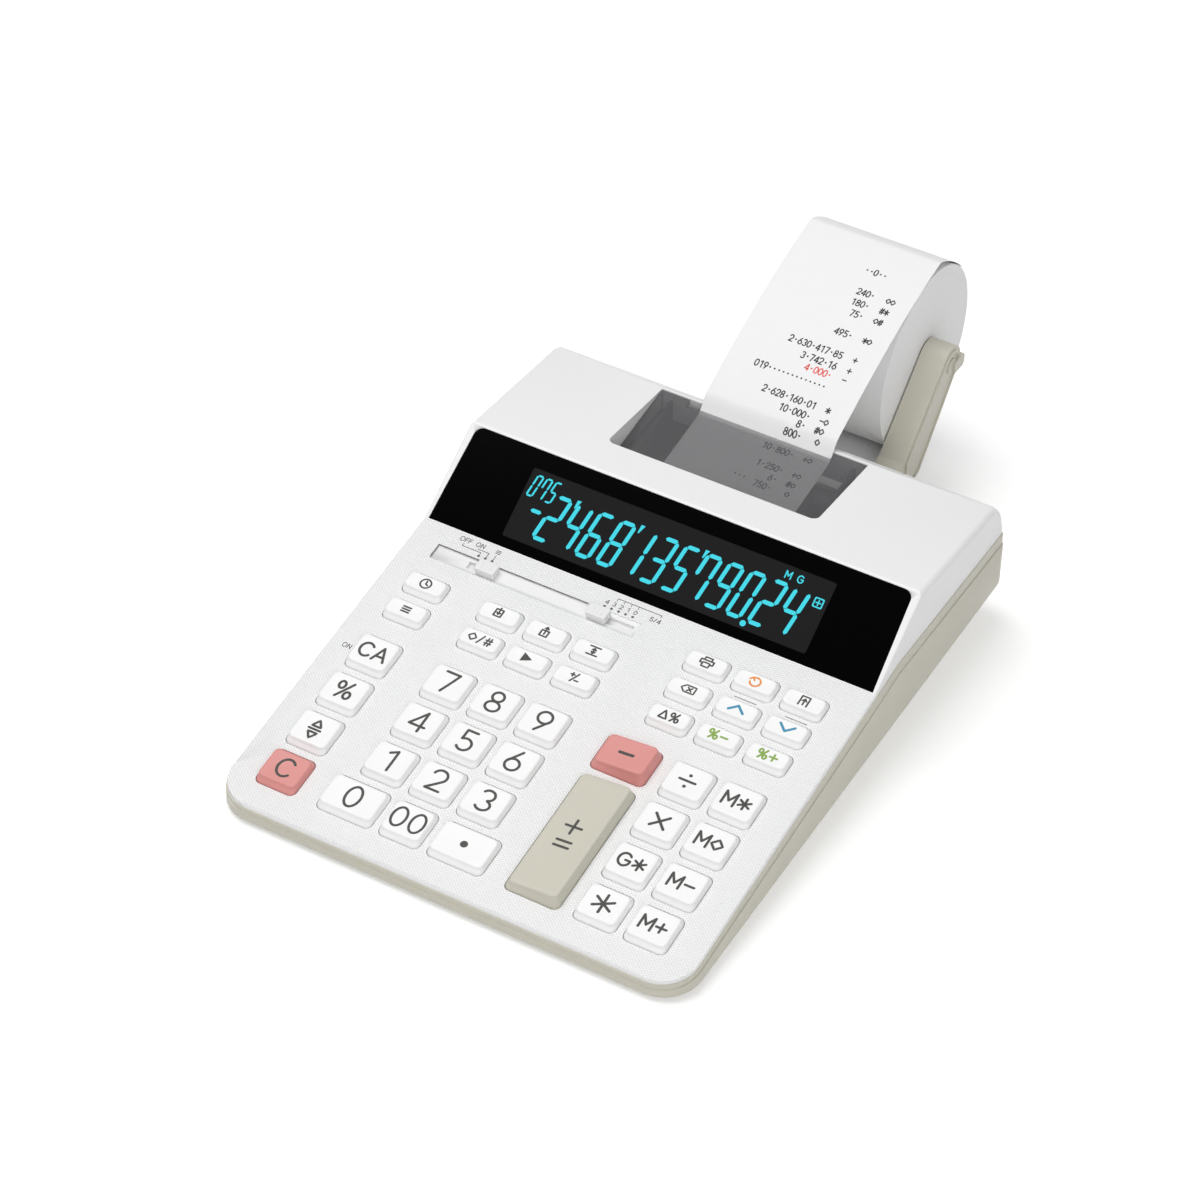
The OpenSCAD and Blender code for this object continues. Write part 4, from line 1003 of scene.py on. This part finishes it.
def knob(node, x):
    """A small cap with three ribs across its top, evenly spaced about its middle x."""
    softened(node, node + "_knob", knob_white, node, 0.35)
    ribs = [filled(round_rect(0.5, 3.4, 0.24, 3) + (x + dx, CHANNEL_S)) for dx in (-1.8, 0.0, 1.8)]
    laid(node + "_ribs", ribs, deck, 2.85, 3.05, knob_white, node, 40)


knob("power_switch", -61.0)
knob("decimal_switch", -12.8)
print("knobs made")

# %% [markdown]
# ## The paper strip
#
# The strip comes up round the platen, runs back under the smoked cover, bends up at its edge and curls over
# the roll. Its path is a circle's arc and three smooth curves, each blended from four points.
# Length along the path then places every printed line, as on a real strip.

# %% The strip's path
COVER_T = 1.5
COVER_END = 243.0


def cover_z(y):
    """Height of the smoked cover's top at a depth."""
    return hood_z(COVER_END) - 0.2 - (COVER_END - y) * math.tan(COVER_SLOPE)


def curve(a, b, c, d, n):
    """Smooth curve from a to d that leaves towards b and arrives from c."""
    t = np.linspace(0, 1, n + 1)[:, None]
    return (1 - t) ** 3 * a + 3 * (1 - t) ** 2 * t * b + 3 * (1 - t) * t * t * c + t ** 3 * d


PLATEN_R, SOFT_GAP, PAPER_T = 6.3, 0.3, 0.3
PATH_R = PLATEN_R + SOFT_GAP + PAPER_T / 2
PLATEN_Y, EXIT_Y, EDGE_Y = 209.0, 237.0, 246.0
EXIT_STEPS = 30
EDGE_AT = 47.3
platen = np.array([PLATEN_Y, cover_z(PLATEN_Y) - COVER_T - PATH_R - 1.1])
exit_start = np.array([EXIT_Y, cover_z(EXIT_Y) - COVER_T - 0.9])
exit_end = np.array([EDGE_Y, hood_z(EDGE_Y) + 4.4])
crest = HUB + (7.4, ROLL_R + 2.9)
over_roll = math.radians(50)
down_roll = np.array([math.cos(over_roll), -math.sin(over_roll)])
free_end = HUB + (ROLL_R + 0.4) * np.array([math.sin(over_roll), math.cos(over_roll)])
to_exit = exit_start - platen
leave = math.degrees(math.atan2(*to_exit[::-1]) + math.acos(PATH_R / np.linalg.norm(to_exit)))
wrap = np.array(arc(*platen, PATH_R, PATH_R, 290, leave, 40))
strip = np.concatenate([
    wrap, curve(exit_start, exit_start + (5, 0.2), exit_end - (4.2, 3.9), exit_end, EXIT_STEPS),
    curve(exit_end, exit_end + (16, 7.9), crest - (31, 5.0), crest, 60)[1:],
    curve(crest, crest + (2.0, 0.2), free_end - 12 * down_roll, free_end, 30)[1:]])
lengths = np.concatenate([[0.0], np.cumsum(np.linalg.norm(np.diff(strip, axis=0), axis=1))])
lengths += EDGE_AT - lengths[len(wrap) + EXIT_STEPS]


def along(length):
    """Place and normal on the path at a length, both read from the path's table of points."""
    a, p, b = (np.stack([np.interp(length + d, lengths, strip[:, i]) for i in (0, 1)], axis=-1)
               for d in (-0.4, 0.0, 0.4))
    t = (b - a) / np.linalg.norm(b - a, axis=-1)[..., None]
    return p, np.stack([-t[..., 1], t[..., 0]], axis=-1)


def on_strip(x, length, h):
    """A place on the paper, h over its upper face."""
    x, length, h = np.broadcast_arrays(x, length, h)
    p, n = along(length)
    p = p + n * (h + 0.06)[..., None]
    return table(np.stack([x, p[..., 0], p[..., 1]], axis=-1))


print("strip is", round(float(lengths[-1] - lengths[0]), 1), "mm long in the printer and beyond")

# %% The paper itself
SHEET_T, TEAR, POINTS = 0.12, 0.22, 57
upper_side = np.linspace(-PAPER_W / 2, PAPER_W / 2, POINTS)
across = np.concatenate([upper_side, upper_side[::-1]])
side = np.repeat([0.0, -SHEET_T], POINTS)
stations = np.linspace(lengths[0], lengths[-1] - 0.5, 200)
tear = TEAR * (np.arange(2 * POINTS) % 2)
rings = []
for k, station in enumerate(stations):
    length = station + (tear if k == len(stations) - 1 else 0.0)
    rings.append(on_strip(across, length, side))
paper = new_piece("paper_strip", np.stack(rings), loft_faces(len(rings), len(across)), paper_white, "case")
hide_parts("paper_tape")
outward(paper)
print("paper strip:", len(paper.data.polygons), "faces")

# %% Printed lines on the strip
CELL, TALL, STROKE = 1.95, 3.1, 0.52


def printed(text, right_end, length, width=STROKE):
    """A line of print whose cells are of one width and end at right_end; a dot takes a cell of its own and sits at mid
    height.
    """
    shapes = []
    for k, char in enumerate(reversed(text)):
        shapes += lettering(char, TALL, width, centre=(right_end - CELL * (k + 0.5), length), slim=0.8)
    return shapes


NUMBERS = [("..0..", 13.0, 122.0), ("240.", 13.0, 111.3), ("180.", 13.2, 106.0), ("75.", 13.2, 100.8),
           ("495.", 13.4, 91.0), ("2.630.417.85", 14.0, 81.4), ("3.742.16", 14.0, 76.2),
           ("019.............", 14.2, 66.4), ("2.628.160.01", 14.4, 57.4), ("10.000.", 14.4, 52.4),
           ("8.", 14.4, 48.2), ("800.", 14.4, 43.8), ("10.800.", 14.6, 35.6), ("1.250.", 14.8, 26.6),
           ("6.", 14.8, 21.5), ("750.", 14.8, 16.6), ("...", 3.6, 17.6)]
MARKS = [("dd", 21.8, 111.3), ("#*", 21.6, 106.0), ("d#", 21.6, 100.8), ("*d", 21.8, 91.0), ("+", 20.4, 81.4),
         ("+", 20.4, 76.2), ("-", 20.4, 71.8), ("*", 20.6, 57.4), ("-d", 22.2, 52.4), ("#d", 22.2, 48.2),
         ("d", 22.2, 43.8), ("+d", 22.4, 35.6), ("+d", 22.4, 26.6), ("#d", 22.6, 21.5), ("d", 22.6, 16.6)]
black = [shape for text, end, length in NUMBERS for shape in printed(text, end, length)]
black += [shape for text, end, length in MARKS for shape in printed(text, end, length, 0.54)]
red = printed("4.000.", 14.0, 71.8)
for name, shapes, ink in (("black", black, ink_black), ("red", red, ink_red)):
    laid("strip_print_" + name, shapes, on_strip, -0.01, 0.02, ink, "case")
print(len(black), "printed strokes")

# %% [markdown]
# ## The roll
#
# A roll is a turned shape: a closed profile of distance along the axis and radius, spun round the hub.
# The paper's ends are not quite flat, because turns slip a little, so the profile waves by a few hundredths.


# %% Paper roll and its card core
def turned(name, profile, material, n=160):
    """Spins a closed profile of (x, radius) round the hub: y and z from the radius's cosine and sine."""
    profile = np.asarray(profile, float)
    a = np.linspace(0, 2 * math.pi, n, endpoint=False)
    x = np.repeat(profile[None, :, 0], n, axis=0)
    y = HUB[0] + profile[None, :, 1] * np.cos(a)[:, None]
    z = HUB[1] + profile[None, :, 1] * np.sin(a)[:, None]
    verts = table(np.stack([x, y, z], axis=-1))
    faces = loft_faces(n, len(profile), closed=True)
    return outward(new_piece(name, verts, faces, material, "paper_roll"))


BORE_R, CORE_R = 5.6, 7.4
radii = np.linspace(ROLL_R - 0.12, CORE_R, 26)
slip = 0.05 * np.sin(radii * 1.7) + 0.03 * np.sin(radii * 4.3 + 1)
half = PAPER_W / 2 - 0.1
end_face = np.stack([half + slip, radii], axis=1)
profile = np.concatenate([[(half - 0.1, ROLL_R)], end_face, end_face[::-1] * (-1, 1), [(-half + 0.1, ROLL_R)]])
roll = turned("wound_roll", profile, paper_wound)
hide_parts("paper_roll")
end_x, outer = half - 0.3, CORE_R - 0.05
turned("roll_core", [(end_x, BORE_R), (end_x, outer), (-end_x, outer), (-end_x, BORE_R)], card, 64)
print("roll radius", ROLL_R, "mm")

# %% [markdown]
# ## Rims and catches on the arms
#
# Each arm's outer face has a raised rim a little inside its outline, a round boss on the hub and a small catch
# behind the tip, which is pressed to let the roll go.

# %% Arm rims
ARM_OUT = 40.1
RIM_R = 6.3
rim = arc(*HUB, RIM_R, RIM_R, 140, -40) + [(299.5, -0.4), (288.0, -4.6), (286.8, 10.6)]
catch = filled([(324.5, 31.0), (331.6, 30.4), (333.0, 31.6), (333.0, 35.2), (331.6, 36.6), (324.5, 36.2)])
for side, name in ((-1, "left"), (1, "right")):
    def on_arm(y, z, h):
        """A place on the arm's outer face, h over it."""
        y, z, h = np.broadcast_arrays(y, z, h)
        return table(np.stack([side * (ARM_OUT + h), y, z], axis=-1))

    for part, shapes, low, high in (("rim", [stroke(rim, 1.1, True), disc(*HUB, 3.3, 32)], -0.3, 0.55),
                                    ("catch", [catch], -2.4, 1.3)):
        laid(f"arm_{part}_{name}", shapes, on_arm, low, high, greige, "paper_holder", 35)
print("arm rims and catches: 4")

# %% [markdown]
# ## Smaller pieces of the solid model
#
# Inner and underside pieces keep their solids and get real finishes.


# %% Finishes on carried-over solids
for node, material in (("lcd_module", dark_part), ("printer_frame", dark_part), ("platen_roller", foot_rubber),
                       ("paper_feed", paper_white), ("keypad_circuit", board_green), ("battery_cells", cell_sleeve),
                       ("feet_and_screws", foot_rubber)):
    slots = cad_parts[node].data.materials
    slots.clear()
    slots.append(material)
print("solids finished")
